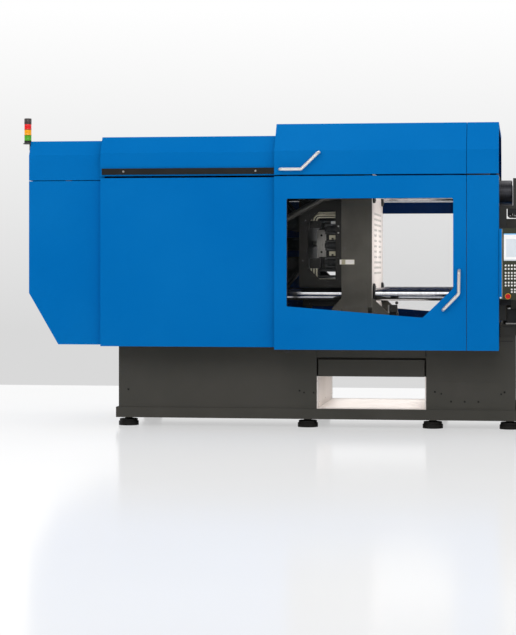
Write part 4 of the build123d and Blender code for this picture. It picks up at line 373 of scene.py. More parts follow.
def clearSheet(name, values):
    # Polycarbonate sheet, polished: nearly all seen through, with a thin reflection
    material, tree, surface, place = startMaterial(name)
    addTone(tree, surface, addNoise(tree, place, values["hazeLength"], 2), *values["tones"])
    setPlain(surface, Roughness=values["roughness"], IOR=1.58, Alpha=values["cover"])
    return material


clearPane = clearSheet("clear_polycarbonate_sheet", {
    "tones": ("#3A4144", "#454C50"), "hazeLength": 300, "roughness": 0.05, "cover": 0.02,
})


def lensStack(values):
    # Coloured clear lenses between a dark base and cap, told apart by their height
    material, tree, surface, place = startMaterial("moulded_clear_lens_stack")
    low, high = (corner.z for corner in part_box("signal_light"))
    height = addNode(tree, "SeparateXYZ", links={"Vector": (place, "Object")})
    span = addNode(tree, "MapRange", {"From Min": low, "From Max": high}, {"Value": (height, "Z")})
    capLow = high - values["capHeight"]
    lensLow = capLow - len(values["lenses"]) * values["lensHeight"]
    tones = {0.0: values["body"], (capLow - low) / (high - low): values["cap"], 0.999: values["cap"]}
    for index, tint in enumerate(values["lenses"]):
        tones[(lensLow + index * values["lensHeight"] - low) / (high - low)] = tint
    bands, outlet = addRamp(tree, (span, "Result"), tones, "CONSTANT")
    # At a scale of 1 the waves turn 20 radians in a metre
    waves = {"bands_direction": "Z", "Scale": perMetre(values["ribRadian"]) / 20, "Distortion": 0.0}
    ribs = addNode(tree, "TexWave", waves, {"Vector": (place, "Object")})
    addRelief(tree, surface, (ribs, "Fac"), values["ribDepth"])
    # Painted glow: the lens colours also shine a little, with no lamp inside
    for socket in ("Base Color", "Emission Color"):
        tree.links.new(bands.outputs[outlet], surface.inputs[socket])
    setPlain(surface, Emission_Strength=values["glow"], Roughness=0.22, IOR=1.49)
    return material


# Polycarbonate lenses, moulded with shallow waves: strong clear colours, with a painted glow as if a
# little light shone in them, though no lamp is inside
signalLenses = lensStack({
    "body": "#22201E", "cap": "#403A38", "lenses": ("#4DA01C", "#F0A008", "#DE1414"),
    "lensHeight": 0.046, "capHeight": 0.047, "ribRadian": 6, "ribDepth": 0.6, "glow": 0.1,
})


def screenGlass(values):
    # Lit display behind flat glass: a pale page with a blue bar on top and a few plain fields
    material, tree, surface, place = startMaterial("lit_display_glass")
    low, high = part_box("panel_display")
    wide, tall = high.x - low.x, high.z - low.z
    across = addNode(tree, "SeparateXYZ", links={"Vector": (place, "Object")})
    current = None
    for tint, (left, bottom, right, top) in values["fields"]:
        inside = addMath(tree, "GREATER_THAN", (across, "X"), low.x + left * wide)
        for outlet, way, limit in (("X", "LESS_THAN", low.x + right * wide),
                                   ("Z", "GREATER_THAN", low.z + bottom * tall),
                                   ("Z", "LESS_THAN", low.z + top * tall)):
            inside = addMath(tree, "MULTIPLY", inside, addMath(tree, way, (across, outlet), limit))
        tones = {"data_type": "RGBA", 6: linearColour(values["page"]), 7: linearColour(tint)}
        field = addNode(tree, "Mix", tones, {0: inside})
        if current is not None:
            tree.links.new(current.outputs[2], field.inputs[6])
        current = field
    for socket in ("Base Color", "Emission Color"):
        tree.links.new(current.outputs[2], surface.inputs[socket])
    setPlain(surface, Emission_Strength=values["glow"], Roughness=0.08, IOR=1.52)
    return material


# Float glass over the display: smooth, with a page of plain fields glowing behind it
displayGlass = screenGlass({
    "page": "#E6E6E6", "glow": 0.22,
    "fields": (
        ("#7DB4DC", (0.0, 0.955, 1.0, 1.0)),
        ("#CDD3D9", (0.06, 0.14, 0.44, 0.80)),
        ("#D4D8DC", (0.54, 0.46, 0.94, 0.80)),
        ("#CBD8CE", (0.54, 0.14, 0.72, 0.36)),
        ("#DCD5C2", (0.78, 0.14, 0.94, 0.36)),
        ("#C2C7CC", (0.0, 0.0, 1.0, 0.05)),
    ),
})

nodeFinishes = {
    guardPaint: ("end_guard", "mid_guards", "mid_hood", "column_guard", "safety_door_front",
                 "safety_door_rear", "top_hood", "purge_guard"),
    framePaint: ("base_frame", "clamp_bed", "injection_bed", "bed_panels", "guard_frame", "panel_arm",
                 "service_box", "injection_carriage", "injection_drive"),
    fixedIron: ("fixed_platen",),
    movingIron: ("moving_platen",),
    shoeIron: ("platen_shoes",),
    shadeDarkenedIron: ("end_platen", "rear_link_upper", "rear_link_lower", "front_link_upper", "front_link_lower",
                "cross_link_upper", "cross_link_lower", "crosshead"),
    blackEnamel: ("levelling_feet", "door_rails", "clamp_cylinder", "ejector_drive"),
    linerPaint: ("chute_liner",),
    groundChrome: ("tie_bars", "crosshead_guides", "clamp_rod"),
    blackOxide: ("tie_bar_nuts",),
    phosphatedSteel: ("crosshead_pins", "end_platen_pins", "platen_pins", "rear_link_pins_upper",
                      "rear_link_pins_lower"),
    machinedSteel: ("linear_rails", "ejector_plate", "injection_barrel", "injection_screw", "purge_hinge"),
    brushedTube: ("door_handle_front", "door_handle_rear", "hood_handle"),
    rolledStainless: ("heater_bands", "hopper"),
    valveStack: ("ejector_valves",),
    greyNylon: ("conduit",),
    clearPane: ("door_pane_front", "door_pane_rear"),
    panelPlastic: ("control_panel",),
    displayGlass: ("panel_display",),
    redPlastic: ("stop_button",),
    signalLenses: ("signal_light",),
}
for finish, names in nodeFinishes.items():
    for name in names:
        mesh = nodes[name].data
        mesh.materials.clear()
        mesh.materials.append(finish)
print("materials ready on", sum(len(names) for names in nodeFinishes.values()), "of", len(nodes), "nodes")


def finishPiece(name, shape, finish, body):  # a bmesh becomes a piece that rides on its body
    mesh = bpy.data.meshes.new(name)
    bmesh.ops.recalc_face_normals(shape, faces=shape.faces)
    shape.to_mesh(mesh)
    shape.free()
    mesh.materials.append(finish)
    piece = bpy.data.objects.new(name, mesh)
    scene.collection.objects.link(piece)
    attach(piece, body)


def addBlock(shape, low, high, edge=0.0):  # a box between two corners, its edges rounded
    low, high = Vector(low), Vector(high)
    made = bmesh.ops.create_cube(shape, size=1.0)
    size, middle = high - low, (low + high) / 2
    for corner in made["verts"]:
        corner.co = Vector(corner.co[axis] * size[axis] + middle[axis] for axis in range(3))
    if edge > 0:
        edges = list({line for corner in made["verts"] for line in corner.link_edges})
        bmesh.ops.bevel(shape, geom=edges, offset=edge, segments=2, profile=0.7, affect="EDGES")


def makeBlocks(name, boxes, edge, finish, body):  # a piece of plain blocks
    shape = bmesh.new()
    for low, high in boxes:
        addBlock(shape, low, high, edge)
    finishPiece(name, shape, finish, body)


def bothSides(low, high):  # a box behind the axis, after its mirror image in front
    return ((low[0], -high[1], low[2]), (high[0], -low[1], high[2])), (low, high)


def sidePlates(corners, face, thickness):  # a flat plate on the front face and on the rear face
    (left, bottom), (right, top) = corners
    return bothSides((left, face, bottom), (right, face + thickness, top))


def addTurned(shape, place, axis, outline, sides=24):  # a profile of radius and height turned round an axis
    turn = Vector((0, 0, 1)).rotation_difference(Vector(axis)).to_matrix()
    rings = []
    for radius, height in outline:
        ring = []
        for index in range(sides if radius > 0 else 1):
            angle = 2 * math.pi * index / sides
            spot = Vector((radius * math.cos(angle), radius * math.sin(angle), height))
            ring.append(shape.verts.new(Vector(place) + turn @ spot))
        rings.append(ring)
    for first, second in zip(rings, rings[1:]):
        for index in range(sides):
            after = (index + 1) % sides
            corners = [first[index % len(first)], first[after % len(first)],
                       second[after % len(second)], second[index % len(second)]]
            single = list(dict.fromkeys(corners))
            if len(single) > 2:
                shape.faces.new(single)
    for ring in (rings[0], rings[-1]):
        if len(ring) > 2:
            shape.faces.new(ring)


screwSides = 12


def disc(radius, height):  # outline of a flat round plate
    return (0, 0), (radius, 0), (radius, height), (0, height)


def screwHead(radius, height):  # outline of a cap screw's head with its socket sunk in
    return ((0, 0), (radius, 0), (radius, 0.75 * height), (0.85 * radius, height), (0.5 * radius, height),
            (0.45 * radius, 0.4 * height), (0, 0.4 * height))


def addOnSides(shape, places, face, outline, sides=screwSides):  # the same on the front and the rear
    for x, z in places:
        for side in (-1, 1):
            addTurned(shape, (x, side * face, z), (0, side, 0), outline, sides)


def makeOnSides(name, places, face, outline, finish, body, sides=screwSides):
    shape = bmesh.new()
    addOnSides(shape, places, face, outline, sides)
    finishPiece(name, shape, finish, body)


def makeTurned(name, places, axis, outline, sides, finish, body):  # a piece of equal turned parts
    shape = bmesh.new()
    for place in places:
        addTurned(shape, place, axis, outline, sides)
    finishPiece(name, shape, finish, body)


def addOnCircle(shape, place, way, circle, count, outline):  # screws round a centre, on a face across X
    for index in range(count):
        angle = 2 * math.pi * index / count
        spot = Vector(place) + Vector((0, circle * math.cos(angle), circle * math.sin(angle)))
        addTurned(shape, spot, (way, 0, 0), outline, screwSides)


def addTube(shape, points, radius, bendRadius, sides=14, bendSteps=6):  # a round tube with arcs at corners
    line = [Vector(points[0])]
    for before, corner, after in zip(points, points[1:], points[2:]):
        before, corner, after = Vector(before), Vector(corner), Vector(after)
        comes, goes = (before - corner).normalized(), (after - corner).normalized()
        half = comes.angle(goes) / 2
        reach = bendRadius / math.tan(half)
        middle = corner + (comes + goes).normalized() * bendRadius / math.sin(half)
        first, last = corner + comes * reach - middle, corner + goes * reach - middle
        for step in range(bendSteps + 1):
            line.append(middle + first.slerp(last, step / bendSteps).normalized() * bendRadius)
    line.append(Vector(points[-1]))
    across = (line[1] - line[0]).orthogonal().normalized()
    rings = []
    for index, spot in enumerate(line):
        ahead = line[min(index + 1, len(line) - 1)] - line[max(index - 1, 0)]
        ahead.normalize()
        across = (across - ahead * across.dot(ahead)).normalized()
        up = ahead.cross(across)
        rings.append([
            shape.verts.new(spot + radius * (across * math.cos(turn) + up * math.sin(turn)))
            for turn in (2 * math.pi * side / sides for side in range(sides))
        ])
    for first, second in zip(rings, rings[1:]):
        for side in range(sides):
            after = (side + 1) % sides
            shape.faces.new((first[side], first[after], second[after], second[side]))
    shape.faces.new(rings[0])
    shape.faces.new(rings[-1])


# Screws of the hood rail, two on each side: bright socket heads set on the rail's face
values = {"stations": (-3.140, -2.060), "drop": 0.025, "screwSize": (0.009, 0.005)}
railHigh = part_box("door_rails")[1]
places = [(station, railHigh.z - values["drop"]) for station in values["stations"]]
makeOnSides("hood_rail_screws", places, railHigh.y, screwHead(*values["screwSize"]), machinedSteel, "root")

# Fixing screws of the base panels, the same on the front and the rear
values = {
    "places": ((-1.745, 0.300), (-3.170, 0.300), (-3.170, 0.660), (-1.745, 0.660), (-0.640, 0.300),
               (-0.080, 0.300), (-0.510, 0.222), (-0.400, 0.222), (-0.290, 0.222)),
    "firstBay": 0.10, "bays": 4, "pitch": 0.975, "bayWidth": 0.78, "bayHeights": (0.24, 0.76),
    "screwSize": (0.008, 0.004),
}
places = list(values["places"])
for bay in range(values["bays"]):
    start = values["firstBay"] + bay * values["pitch"]
    for x in (start, start + values["bayWidth"]):
        places += [(x, height) for height in values["bayHeights"]]
makeOnSides("bed_panel_screws", places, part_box("bed_panels")[1].y, screwHead(*values["screwSize"]),
            blackEnamel, "root")
print("screws ready")

# Tapped holes of both mould plates: a field of countersunk holes, each a bright rim round a dark bore,
# left out round the middle and where the ejector rods come through
holeValues = {"pitch": 0.0445, "columns": 17, "rows": 12, "rim": 0.0115, "bore": 0.0085, "lift": 0.0006,
              "keepOut": 0.13, "rodPlace": (0.140, 0.070), "rodGap": 0.030, "sides": 16}


def addHoleField(name, faceX, way, body, values):
    rims, bores = bmesh.new(), bmesh.new()
    rim, bore, lift = values["rim"], values["bore"], values["lift"]
    rodY, rodRise = values["rodPlace"]
    for column in range(values["columns"]):
        for row in range(values["rows"]):
            y = (column - (values["columns"] - 1) / 2) * values["pitch"]
            z = (row - (values["rows"] - 1) / 2) * values["pitch"]
            toRod = math.hypot(abs(y) - rodY, abs(z) - rodRise)
            if math.hypot(y, z) < values["keepOut"] or toRod < values["rodGap"]:
                continue
            place = (faceX, y, axisHeight + z)
            ring = ((bore, 0), (rim, 0), (rim, lift / 2), (bore, lift))
            addTurned(rims, place, (way, 0, 0), ring, values["sides"])
            addTurned(bores, place, (way, 0, 0), disc(bore, lift * 1.2), values["sides"])
    finishPiece(name + "_rims", rims, rolledStainless, body)
    finishPiece(name + "_bores", bores, threadedSteel, body)


addHoleField("moving_platen_holes", movingFaceX, 1, "moving_platen", holeValues)
addHoleField("fixed_platen_holes", fixedFaceX, -1, "root", holeValues)
print("mould plate holes ready")

# Wiper rings where the tie bars come out of the moving plate's mould face
values = {"barPlace": (0.460, 0.417), "sink": 0.002, "outer": 0.0875, "bore": 0.0532, "thickness": 0.017,
          "lip": 0.058, "chamfer": 0.004, "slope": 0.006, "screwCircle": 0.073, "screws": 6,
          "screwSize": (0.005, 0.004), "sides": 48}
outer, bore, thick, lip = (values[key] for key in ("outer", "bore", "thickness", "lip"))
barY, barRise = values["barPlace"]
outline = ((bore, 0), (outer, 0), (outer, thick * 0.8), (outer - values["chamfer"], thick),
           (lip + values["slope"], thick), (lip, thick * 1.25), (bore, thick * 1.25))
rings, screws = bmesh.new(), bmesh.new()
for side in (-1, 1):
    for up in (-1, 1):
        place = Vector((movingFaceX - values["sink"], side * barY, axisHeight + up * barRise))
        addTurned(rings, place, (1, 0, 0), outline, values["sides"])
        face = place + Vector((thick, 0, 0))
        addOnCircle(screws, face, 1, values["screwCircle"], values["screws"], screwHead(*values["screwSize"]))
finishPiece("tie_bar_wipers", rings, nitrileRubber, "moving_platen")
finishPiece("tie_bar_wiper_screws", screws, blackOxide, "moving_platen")

# Side of the moving plate: screws, and a bare label plate in two tones, the same on both sides
values = {
    "face": 0.590,
    "brightScrews": ((-1.427, 1.644), (-1.427, 1.590)),
    "darkScrews": ((-1.720, 1.364), (-1.696, 1.692), (-1.375, 1.464)),
    "shoeFace": 0.600,
    "shoeScrews": ((-1.364, 0.988), (-1.205, 0.988), (-1.364, 0.860), (-1.205, 0.860)),
    "screwSize": (0.0065, 0.004),
    "label": ((-1.415, 1.331), (-1.295, 1.372)),
    "tags": (((-1.415, 1.333), (-1.401, 1.370)), ((-1.369, 1.334), (-1.297, 1.369))),
    "thickness": 0.0015, "edge": 0.0004,
}
bright, dark, head = bmesh.new(), bmesh.new(), screwHead(*values["screwSize"])
addOnSides(bright, values["brightScrews"], values["face"], head)
addOnSides(dark, values["darkScrews"], values["face"], head)
addOnSides(dark, values["shoeScrews"], values["shoeFace"], head)
finishPiece("moving_platen_bright_screws", bright, machinedSteel, "moving_platen")
finishPiece("moving_platen_dark_screws", dark, blackOxide, "moving_platen")
face, thick = values["face"], values["thickness"]
makeBlocks("moving_platen_label", sidePlates(values["label"], face, thick), values["edge"],
           sandNylon, "moving_platen")
tags = [box for corners in values["tags"] for box in sidePlates(corners, face, 2 * thick)]
makeBlocks("moving_platen_label_tags", tags, values["edge"], brushedTube, "moving_platen")

# Hydraulics of the ejector, seen through the side hole: steel tubes bent from two blocks to the plate's back,
# round coils over the valve bodies and a notch in each plug
values = {
    "manifold": ((-1.541, -0.457, 1.286), (-1.4525, -0.320, 1.738)),
    "highShoulder": ((-1.600, -0.450, 1.617), (-1.540, -0.330, 1.712)),
    "lowShoulder": ((-1.600, -0.450, 1.286), (-1.540, -0.330, 1.394)),
    "highBlock": ((-1.668, -0.524, 1.630), (-1.575, -0.420, 1.690)),
    "lowBlock": ((-1.668, -0.524, 1.300), (-1.575, -0.420, 1.382)),
    "blockEdge": 0.004,
    "tubeDepth": -0.5145,
    "tubeX": (-1.659, -1.636, -1.613),
    "highCrests": (1.757, 1.738, 1.719),
    "lowCrests": (1.172, 1.190, 1.208),
    "tubeEnd": -1.4035,
    "tubeRadius": 0.0078,
    "bendRadius": (0.056, 0.044, 0.028),
    "coilPlaces": ((-1.548, -0.493, 1.621), (-1.548, -0.493, 1.487), (-1.548, -0.493, 1.349)),
    "coilOutline": ((0, 0), (0.020, 0), (0.020, 0.006), (0.032, 0.008), (0.035, 0.012), (0.035, 0.022),
                    (0.0405, 0.024), (0.0405, 0.055), (0.038, 0.057), (0.038, 0.062), (0.0405, 0.064),
                    (0.0405, 0.096), (0, 0.096)),
    "coilSides": 32,
    "notches": (((-1.490, -0.5212, 1.5365), (-1.473, -0.519, 1.5505)),
                ((-1.490, -0.5212, 1.4035), (-1.473, -0.519, 1.4175))),
    "notchEdge": 0.0005,
}
tubes = bmesh.new()
for start, crests in ((values["highBlock"][1][2], values["highCrests"]),
                      (values["lowBlock"][0][2], values["lowCrests"])):
    depth, end = values["tubeDepth"], values["tubeEnd"]
    for x, crest, bendRadius in zip(values["tubeX"], crests, values["bendRadius"]):
        points = (x, depth, start), (x, depth, crest), (end, depth, crest)
        addTube(tubes, points, values["tubeRadius"], bendRadius)
blocks = [values[part] for part in ("manifold", "highShoulder", "lowShoulder", "highBlock", "lowBlock")]
makeBlocks("ejector_manifold_blocks", blocks, values["blockEdge"], blackEnamel, "moving_platen")
finishPiece("ejector_hydraulic_tubes", tubes, platedTube, "moving_platen")
makeTurned("valve_coils", values["coilPlaces"], (1, 0, 0), values["coilOutline"], values["coilSides"],
           nitrileRubber, "moving_platen")
makeBlocks("valve_plug_notches", values["notches"], values["notchEdge"], nitrileRubber, "moving_platen")

# Cast lip under the rib box's side walls, and a sheet tray below the box that catches oil drips
values = {
    "lip": ((-1.748, 0.537, 1.1435), (-1.4035, 0.588, 1.1605)), "lipEdge": 0.004,
    "floor": ((-1.742, -0.380, 0.985), (-1.4035, 0.380, 0.9875)), "rimHeight": 0.055, "sheet": 0.0025,
    "straps": (-1.700, -1.450), "strapWidth": 0.030, "strapTop": 1.1605, "edge": 0.0004,
}
(left, front, low), (right, back, high) = values["floor"]
sheet, rimTop = values["sheet"], low + values["rimHeight"]
tray = [
    values["floor"],
    *bothSides((left, back - sheet, low), (right, back, rimTop)),
    ((left, front, low), (left + sheet, back, rimTop)),
    ((right - sheet, front, low), (right, back, rimTop)),
]
for strapX in values["straps"]:
    strapFar = (strapX + values["strapWidth"], back - sheet, values["strapTop"])
    tray += bothSides((strapX, back - 2 * sheet, low), strapFar)
makeBlocks("rib_box_lips", bothSides(*values["lip"]), values["lipEdge"], movingIron, "moving_platen")
makeBlocks("ejector_oil_tray", tray, values["edge"], blackEnamel, "moving_platen")

# Ejector plate: two counterbored screws in each edge
values = {"middle": -1.6085, "face": 0.180, "rise": 0.070, "radius": 0.0095, "depth": 0.0004, "sides": 20}
places = [(values["middle"], axisHeight + up * values["rise"]) for up in (-1, 1)]
makeOnSides("ejector_plate_counterbores", places, values["face"], disc(values["radius"], values["depth"]),
            nitrileRubber, "ejector", values["sides"])

# Valve bar: a white plug cap over the upper coil, on the front side as the bar is
values = {"box": ((-1.495, -0.512, 1.664), (-1.4515, -0.490, 1.686)), "edge": 0.003}
makeBlocks("valve_plug_cap", (values["box"],), values["edge"], keyRubber, "moving_platen")

# Limit switch on the front shoe: a wider body over the plain box, its round actuator and a bright strip
values = {
    "body": ((-1.006, -0.605, 0.944), (-0.945, -0.570, 1.004)), "bodyEdge": 0.004,
    "strip": ((-1.0215, -0.602, 0.936), (-1.0115, -0.585, 1.002)), "stripEdge": 0.001,
    "knobPlace": (-0.9505, -0.606, 1.0195), "knobSize": (0.0125, 0.030),
}
shape = bmesh.new()
addBlock(shape, *values["body"], values["bodyEdge"])
addTurned(shape, values["knobPlace"], (0, 1, 0), disc(*values["knobSize"]))
finishPiece("shoe_limit_switch", shape, blackNylon, "moving_platen")
makeBlocks("shoe_switch_strip", (values["strip"],), values["stripEdge"], machinedSteel, "moving_platen")
print("moving platen dressed")

# Black nylon guides round the doors' lower shoes
values = {"box": ((-1.819, 0.958, 0.6275), (-1.775, 0.9735, 0.6525)), "edge": 0.002}
for body, box in zip(("door_front", "door_rear"), bothSides(*values["box"])):
    makeBlocks(body + "_guide", (box,), values["edge"], blackNylon, body)

# Flat covers screwed on the bed beside the passage, the same on the front and the rear
values = {
    "covers": (((-1.724, 0.170), (-1.612, 0.385)), ((-0.604, 0.170), (-0.091, 0.382))), "edge": 0.0006,
    "face": 0.600, "thickness": 0.0015,
    "screwInset": 0.016, "screwHeight": 0.285, "screwSize": (0.007, 0.003),
}
face, thick, inset = values["face"], values["thickness"], values["screwInset"]
covers = [box for corners in values["covers"] for box in sidePlates(corners, face, thick)]
stations = [x for low, high in values["covers"] for x in (low[0] + inset, high[0] - inset)]
makeBlocks("bed_covers", covers, values["edge"], framePaint, "root")
makeOnSides("bed_cover_screws", [(x, values["screwHeight"]) for x in stations], face + thick,
            screwHead(*values["screwSize"]), blackEnamel, "root")

# Liner: dark rivets in its flanges and in its wall
values = {"flangePlaces": ((-1.6005, 0.379), (-1.6005, 0.209)), "flangeFace": 0.5995,
          "flangeRivet": ((0, 0), (0.0024, 0), (0.0024, 0.0008), (0, 0.0012)),
          "wallPlaces": ((-1.594, 0.480, 0.204), (-1.594, -0.480, 0.204), (-1.594, 0.0, 0.204)),
          "wallRivet": ((0, 0), (0.0035, 0), (0.0035, 0.00075), (0, 0.0015)), "sides": 12}
shape = bmesh.new()
addOnSides(shape, values["flangePlaces"], values["flangeFace"], values["flangeRivet"], values["sides"])
for place in values["wallPlaces"]:
    addTurned(shape, place, (1, 0, 0), values["wallRivet"], values["sides"])
finishPiece("liner_rivets", shape, blackOxide, "root")

# Junction boxes beside the fixed platen's foot, under the control panel, and slots and seams of the ledge
values = {
    "black": (((-0.128, -0.690, 1.007), (-0.026, -0.6403, 1.045)),
              ((-0.063, -0.597, 0.8603), (0.046, -0.530, 0.972))),
    "grey": (((-0.128, -0.690, 0.890), (-0.070, -0.6403, 1.0055)),
             ((-0.029, -0.592, 0.9722), (0.046, -0.530, 1.046)),
             ((-0.092, -0.528, 0.8503), (0.046, -0.505, 1.056))),
    "boxEdge": 0.004,
    "sill": ((-0.072, -0.5995, 0.8503), (0.046, -0.530, 0.860)), "sillEdge": 0.002,
    "plug": ((-0.0575, -0.597, 0.9722), (-0.031, -0.572, 0.983)), "plugEdge": 0.003,
    "face": 0.600,
    "seams": (((-0.118, 0.7105), (-0.013, 0.7155)), ((-0.096, 0.8265), (-0.016, 0.8315))),
    "seamDepth": 0.0005,
    "slotX": -0.112, "slotHeights": (0.749, 0.768, 0.787, 0.806, 0.825), "slotSize": (0.004, 0.001),
}
slots = bmesh.new()
for corners in values["seams"]:
    for low, high in sidePlates(corners, values["face"], values["seamDepth"]):
        addBlock(slots, low, high)
places = [(values["slotX"], height) for height in values["slotHeights"]]
addOnSides(slots, places, values["face"], disc(*values["slotSize"]))
makeBlocks("junction_boxes_black", values["black"], values["boxEdge"], blackNylon, "root")
makeBlocks("junction_box_grey", values["grey"], values["boxEdge"], framePaint, "root")
finishPiece("ledge_vents", slots, nitrileRubber, "root")
makeBlocks("junction_box_sill", (values["sill"],), values["sillEdge"], machinedSteel, "root")
makeBlocks("junction_box_plug", (values["plug"],), values["plugEdge"], keyRubber, "root")

# Dark joint in the bed's front above the passage
values = {"width": 0.005, "bottom": 0.585, "top": 0.660, "face": 0.600, "thickness": 0.0005}
linerLow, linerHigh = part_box("chute_liner")
corners = (linerHigh.x - values["width"], values["bottom"]), (linerHigh.x, values["top"])
makeBlocks("bed_joint_strips", sidePlates(corners, values["face"], values["thickness"]), 0, nitrileRubber,
           "root")

# Black rings between the lenses of the signal light
values = {"place": (-3.975, -0.780), "inner": 0.0242, "radius": 0.0282, "lip": 0.0012, "height": 0.006,
          "pitch": 0.046, "capHeight": 0.047, "rings": 4, "sides": 32}
inner, radius, tall = values["inner"], values["radius"], values["height"]
outer = radius + values["lip"]
outline = (inner, 0), (radius, 0), (outer, tall * 0.3), (outer, tall * 0.7), (radius, tall), (inner, tall)
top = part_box("signal_light")[1].z - values["capHeight"] - tall / 2
places = [(*values["place"], top - index * values["pitch"]) for index in range(values["rings"])]
makeTurned("signal_light_rings", places, (0, 0, 1), outline, values["sides"], blackNylon, "root")

# Bracket and hose fittings below the service shelf
values = {
    "plate": ((-0.063, -0.598, 1.620), (0.060, -0.592, 1.700)), "plateEdge": 0.0015,
    "fitting": ((-0.052, -0.636, 1.742), (0.040, -0.580, 1.7795)), "fittingEdge": 0.003,
    "nuts": ((-0.040, -0.626, 1.742), (0.012, -0.626, 1.742)), "nutSize": (0.011, 0.016), "nutSides": 6,
}
shape = bmesh.new()
addBlock(shape, *values["fitting"], values["fittingEdge"])
for place in values["nuts"]:
    addTurned(shape, place, (0, 0, -1), disc(*values["nutSize"]), values["nutSides"])
makeBlocks("service_shelf_bracket", (values["plate"],), values["plateEdge"], framePaint, "root")
finishPiece("service_hose_fittings", shape, blackNylon, "root")

# Nylon plugs over the screws of the rails, given by their Y, top and ends
values = {"rails": ((0.555, 0.795, -1.700, -0.510), (0.330, 0.885, 0.160, 3.700)), "pitch": 0.08,
          "inset": 0.04, "plugSize": (0.0085, 0.0003), "sides": 12}
inset, pitch, places = values["inset"], values["pitch"], []
for railY, railTop, start, end in values["rails"]:
    for index in range(int((end - start - inset) / pitch)):
        places += [(start + inset + index * pitch, side * railY, railTop) for side in (-1, 1)]
makeTurned("rail_screw_plugs", places, (0, 0, 1), disc(*values["plugSize"]), values["sides"], blackNylon,
           "root")
print("base dressed")

# Barrel: clamps and terminal boxes of the heater bands, and the screwed ring that holds it in its housing.
# The first band goes into the fixed platen, so it has no box
values = {
    "firstBand": 0.024, "pitch": 0.215, "length": 0.160, "bands": 6, "clampSpan": (0.095, 0.0995),
    "clampWidth": 0.012, "clampInset": 0.010,
    "boxHalf": (0.026, 0.020), "boxHeights": (1.374, 1.412), "boxEdge": 0.004,
    "ringFace": 1.400, "ringThickness": 0.016, "screwCircle": 0.100, "screws": 8, "screwSize": (0.010, 0.008),
    "ringOutline": ((0.0765, 0), (0.118, 0), (0.118, 0.013), (0.114, 0.016), (0.0765, 0.016)),
    "sides": 48,
    "plateBack": 3.130, "rodY": 0.300,
    "nutOutline": ((0, 0), (0.052, 0), (0.055, 0.004), (0.055, 0.026), (0.052, 0.030), (0.030, 0.030),
                   (0.030, 0.040), (0, 0.040)),
}
clamps, boxes, rings, screws = bmesh.new(), [], bmesh.new(), bmesh.new()
(inner, outer), width = values["clampSpan"], values["clampWidth"]
(halfX, halfY), (low, high) = values["boxHalf"], values["boxHeights"]
for band in range(values["bands"]):
    bandX = values["firstBand"] + band * values["pitch"]
    for offset in (values["clampInset"], values["length"] - values["clampInset"] - width):
        outline = (inner, 0), (outer, 0), (outer, width), (inner, width)
        addTurned(clamps, (bandX + offset, 0, axisHeight), (1, 0, 0), outline, values["sides"])
    middle = bandX + values["length"] / 2
    if band > 0:
        boxes.append(((middle - halfX, -halfY, low), (middle + halfX, halfY, high)))
addTurned(rings, (values["ringFace"], 0, axisHeight), (-1, 0, 0), values["ringOutline"], values["sides"])
addOnCircle(screws, (values["ringFace"] - values["ringThickness"], 0, axisHeight), -1, values["screwCircle"],
            values["screws"], screwHead(*values["screwSize"]))
for side in (-1, 1):
    place = (values["plateBack"], side * values["rodY"], axisHeight)
    addTurned(rings, place, (1, 0, 0), values["nutOutline"], 6)
finishPiece("heater_band_clamps", clamps, rolledStainless, "injection_carriage")
makeBlocks("heater_terminal_boxes", boxes, values["boxEdge"], blackNylon, "injection_carriage")
finishPiece("barrel_retaining_ring", rings, machinedSteel, "injection_carriage")
finishPiece("barrel_ring_screws", screws, blackOxide, "injection_carriage")

# Drive: the motor's end cover and cable plug, and the screws of both
values = {
    "motorEnd": 2.950, "coverThickness": 0.013, "sides": 48,
    "coverOutline": ((0, 0), (0.112, 0), (0.112, 0.010), (0.108, 0.013), (0, 0.013)),
    "coverCircle": 0.096, "coverScrews": 6, "coverScrewSize": (0.007, 0.006),
    "blockFront": 2.300, "blockScrews": ((0.340, 0.195), (0.200, 0.195)), "blockScrewSize": (0.014, 0.012),
    "plug": ((2.720, -0.032, 1.628), (2.800, 0.032, 1.672)), "plugEdge": 0.005,
}
screws = bmesh.new()
addOnCircle(screws, (values["motorEnd"] + values["coverThickness"], 0, axisHeight), 1, values["coverCircle"],
            values["coverScrews"], screwHead(*values["coverScrewSize"]))
for y, rise in values["blockScrews"]:
    for side in (-1, 1):
        for up in (-1, 1):
            place = (values["blockFront"], side * y, axisHeight + up * rise)
            addTurned(screws, place, (-1, 0, 0), screwHead(*values["blockScrewSize"]), screwSides)
makeTurned("drive_motor_cover", [(values["motorEnd"], 0, axisHeight)], (1, 0, 0), values["coverOutline"],
           values["sides"], blackEnamel, "injection_drive")
finishPiece("drive_screws", screws, blackOxide, "injection_drive")
makeBlocks("motor_cable_plug", (values["plug"],), values["plugEdge"], blackNylon, "injection_drive")

# Hopper: a framed sight glass on its front
values = {"frame": ((1.535, -0.322, 2.235), (1.585, -0.300, 2.405)), "frameEdge": 0.003,
          "pane": ((1.545, -0.3235, 2.245), (1.575, -0.3215, 2.395)), "paneEdge": 0.0006}
makeBlocks("hopper_sight_frame", (values["frame"],), values["frameEdge"], rolledStainless,
           "injection_carriage")
makeBlocks("hopper_sight_pane", (values["pane"],), values["paneEdge"], clearPane, "injection_carriage")
print("injection side dressed")

